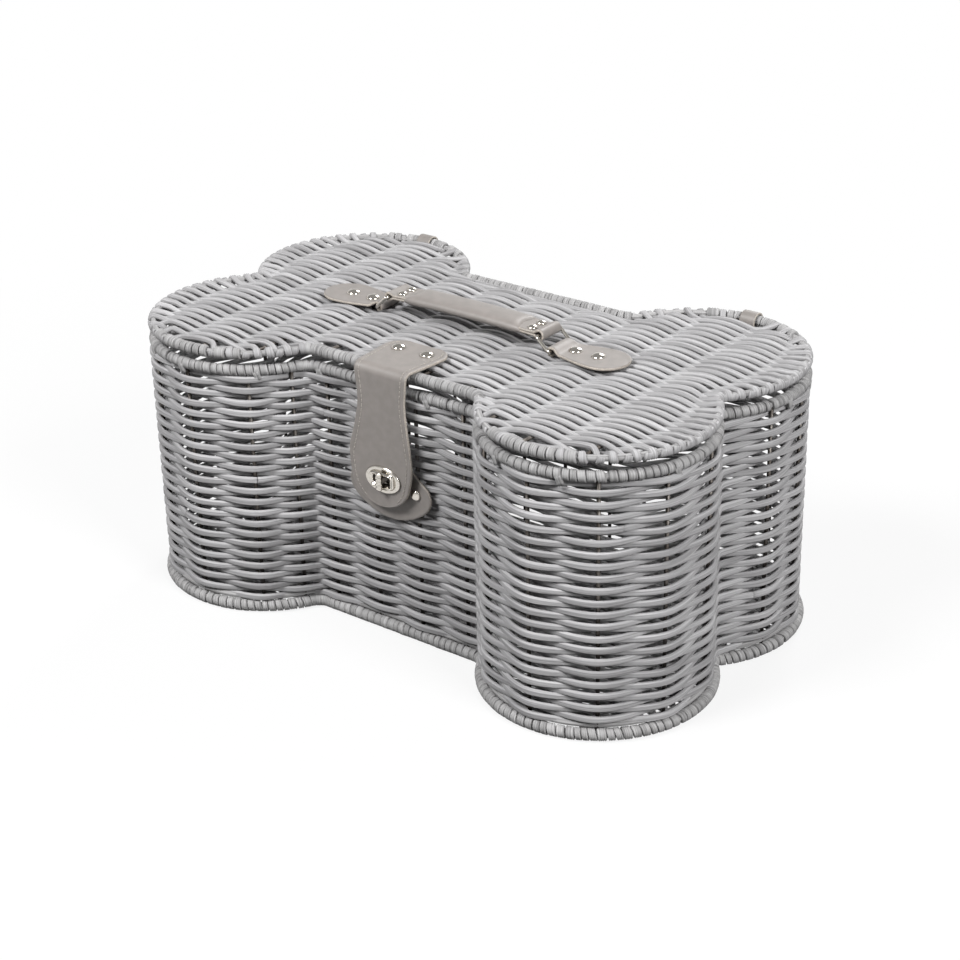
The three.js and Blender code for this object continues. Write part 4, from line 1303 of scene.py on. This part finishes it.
baseFace = patchBack - patch["thick"] - seat
postLength = baseFace - (flapFace - seat - collarTop - seat)
baseW, baseH = lock["base"]
postRing = ovalRing(lock["post"], lock["post"])
baseRings = [(ovalRing(baseW, baseH), 0.0), (ovalRing(baseW, baseH), 0.8),
             (ovalRing(baseW - 1, baseH - 1), 1.2), (postRing, 1.2), (postRing, postLength)]
baseShape = stacked(baseRings, outFrom(0, baseFace, lockZ), closed=False)
# the base gets the dark wire steel, not nickel: painted shade, so that the slot's openings beside the knob
# read dark like a deep hole
metalPiece("turn_lock_base", baseShape, steelWireAndSlotShadeSkin, "basket", "lock_base")


# knob: an upright bar on a pin, with ribs across its front for the fingers
def knobShape():
    width, length, depthMost = lock["knob"]
    front = baseFace - postLength - seat
    zs = np.linspace(-length / 2, length / 2, 25)
    sections = []
    for z in zs:
        taper = sqrt(max(0.02, 1 - (z / (length / 2)) ** 4))
        rib = lock["ribHeight"] * (cos(lock["ribs"] * 2 * pi * z / length) - 1)
        half = width / 2 * (0.55 + 0.45 * taper)
        depth = depthMost * (0.6 + 0.4 * taper) + rib
        sections.append([(-half, 0), (half, 0), (half, depth * 0.7), (half * 0.55, depth),
                         (-half * 0.55, depth), (-half, depth * 0.7)])
    path = np.column_stack([np.zeros(len(zs)), np.full(len(zs), front), lockZ + zs])
    pin = [(0, front - 1, lockZ), (0, front + 5, lockZ)]
    return gather([sweep(path, (0, -1, 0), sections), sweep(pin, (0, 0, 1), roundSection(1, 1, 12))])


metalPiece("turn_lock_knob", knobShape(), nickelSkin, "knob", "lock_knob")
print("turn lock made")


# stage: white floor that keeps a faint shadow, soft lamps and a pale surround that dims overhead
stage = {
    "floor": "#dddddd", "bounce": "#606060",
    "floorReach": 20, "shadow": 0.17, "shadowReach": (0.3, 0.75),  # m
    "horizon": "#ffffff", "overhead": "#a4a4a4", "ambient": 0.05,
    "lampSize": 0.8, "aim": (0, 0, 0.1),  # m
}
lamps = {  # place in m, and watts
    "key_lamp": ((-0.6, -1.45, 1.85), 56),
    "fill_lamp": ((1.9, -0.45, 1.45), 51),
    "back_lamp": ((-0.3, 1.75, 1.4), 26),
}


# 1 for what the camera sees, directly, mirrored or through glass
def seenRays(tree):
    path = addNode(tree, "LightPath")
    seen = addNode(tree, "Math", {"operation": "MAXIMUM"},
                   {0: path.outputs["Is Camera Ray"], 1: path.outputs["Is Glossy Ray"]})
    return addNode(tree, "Math", {"operation": "MAXIMUM"}, {0: seen, 1: path.outputs["Is Transmission Ray"]})


def addFloor():
    material, tree = newMaterial("studio_floor")
    place = addNode(tree, "TexCoord").outputs["Object"]
    away = addNode(tree, "VectorMath", {"operation": "LENGTH"}, {0: place}).outputs["Value"]
    near, far = stage["shadowReach"]
    share = addNode(tree, "MapRange", {"From Min": near, "From Max": far, "To Min": 1 - stage["shadow"],
                                       "To Max": 1.0}, {"Value": away})
    seen = seenRays(tree)
    share = addNode(tree, "Math", {"operation": "MULTIPLY"}, {0: share, 1: seen})
    tint = addNode(tree, "MixRGB", {1: linear(stage["bounce"]), 2: linear(stage["floor"])}, {0: seen})
    paint = addNode(tree, "BsdfDiffuse", {}, {"Color": tint})
    white = addNode(tree, "Emission", {"Strength": 1.0})
    mixed = addNode(tree, "MixShader", {}, {0: share, 1: paint, 2: white})
    addNode(tree, "OutputMaterial", {}, {"Surface": mixed})
    reach = stage["floorReach"] / mm
    corners = np.array([(-reach, -reach, 0), (reach, -reach, 0), (reach, reach, 0), (-reach, reach, 0)])
    newPiece("floor", {"points": corners, "faces": [[0, 1, 2, 3]]}, [material])


def addSurround():
    world = bpy.data.worlds.new("studio")
    bpy.context.scene.world = world
    world.use_nodes = True
    tree = world.node_tree
    tree.nodes.clear()
    place = addNode(tree, "TexCoord").outputs["Generated"]
    height = addNode(tree, "SeparateXYZ", {}, {0: place}).outputs["Z"]
    dome = addNode(tree, "ValToRGB", {}, {0: height})
    ramp(dome, [(0.12, stage["horizon"]), (0.55, stage["overhead"])])
    strength = addNode(tree, "MapRange", {"To Min": stage["ambient"], "To Max": 1.0},
                       {"Value": seenRays(tree)})
    sky = addNode(tree, "Background", {}, {"Color": dome, "Strength": strength})
    addNode(tree, "OutputWorld", {}, {"Surface": sky})


def addLamp(name, place, watts):
    data = bpy.data.lights.new(name, "AREA")
    data.shape, data.size, data.energy = "SQUARE", stage["lampSize"], watts
    lamp = bpy.data.objects.new(name, data)
    lamp.location = place
    lamp.rotation_euler = (Vector(stage["aim"]) - Vector(place)).to_track_quat("-Z", "Y").to_euler()
    bpy.context.scene.collection.objects.link(lamp)


addFloor()
addSurround()
for name, (place, watts) in lamps.items():
    addLamp(name, place, watts)
bpy.context.scene.view_settings.view_transform = "Standard"
print("stage lit")
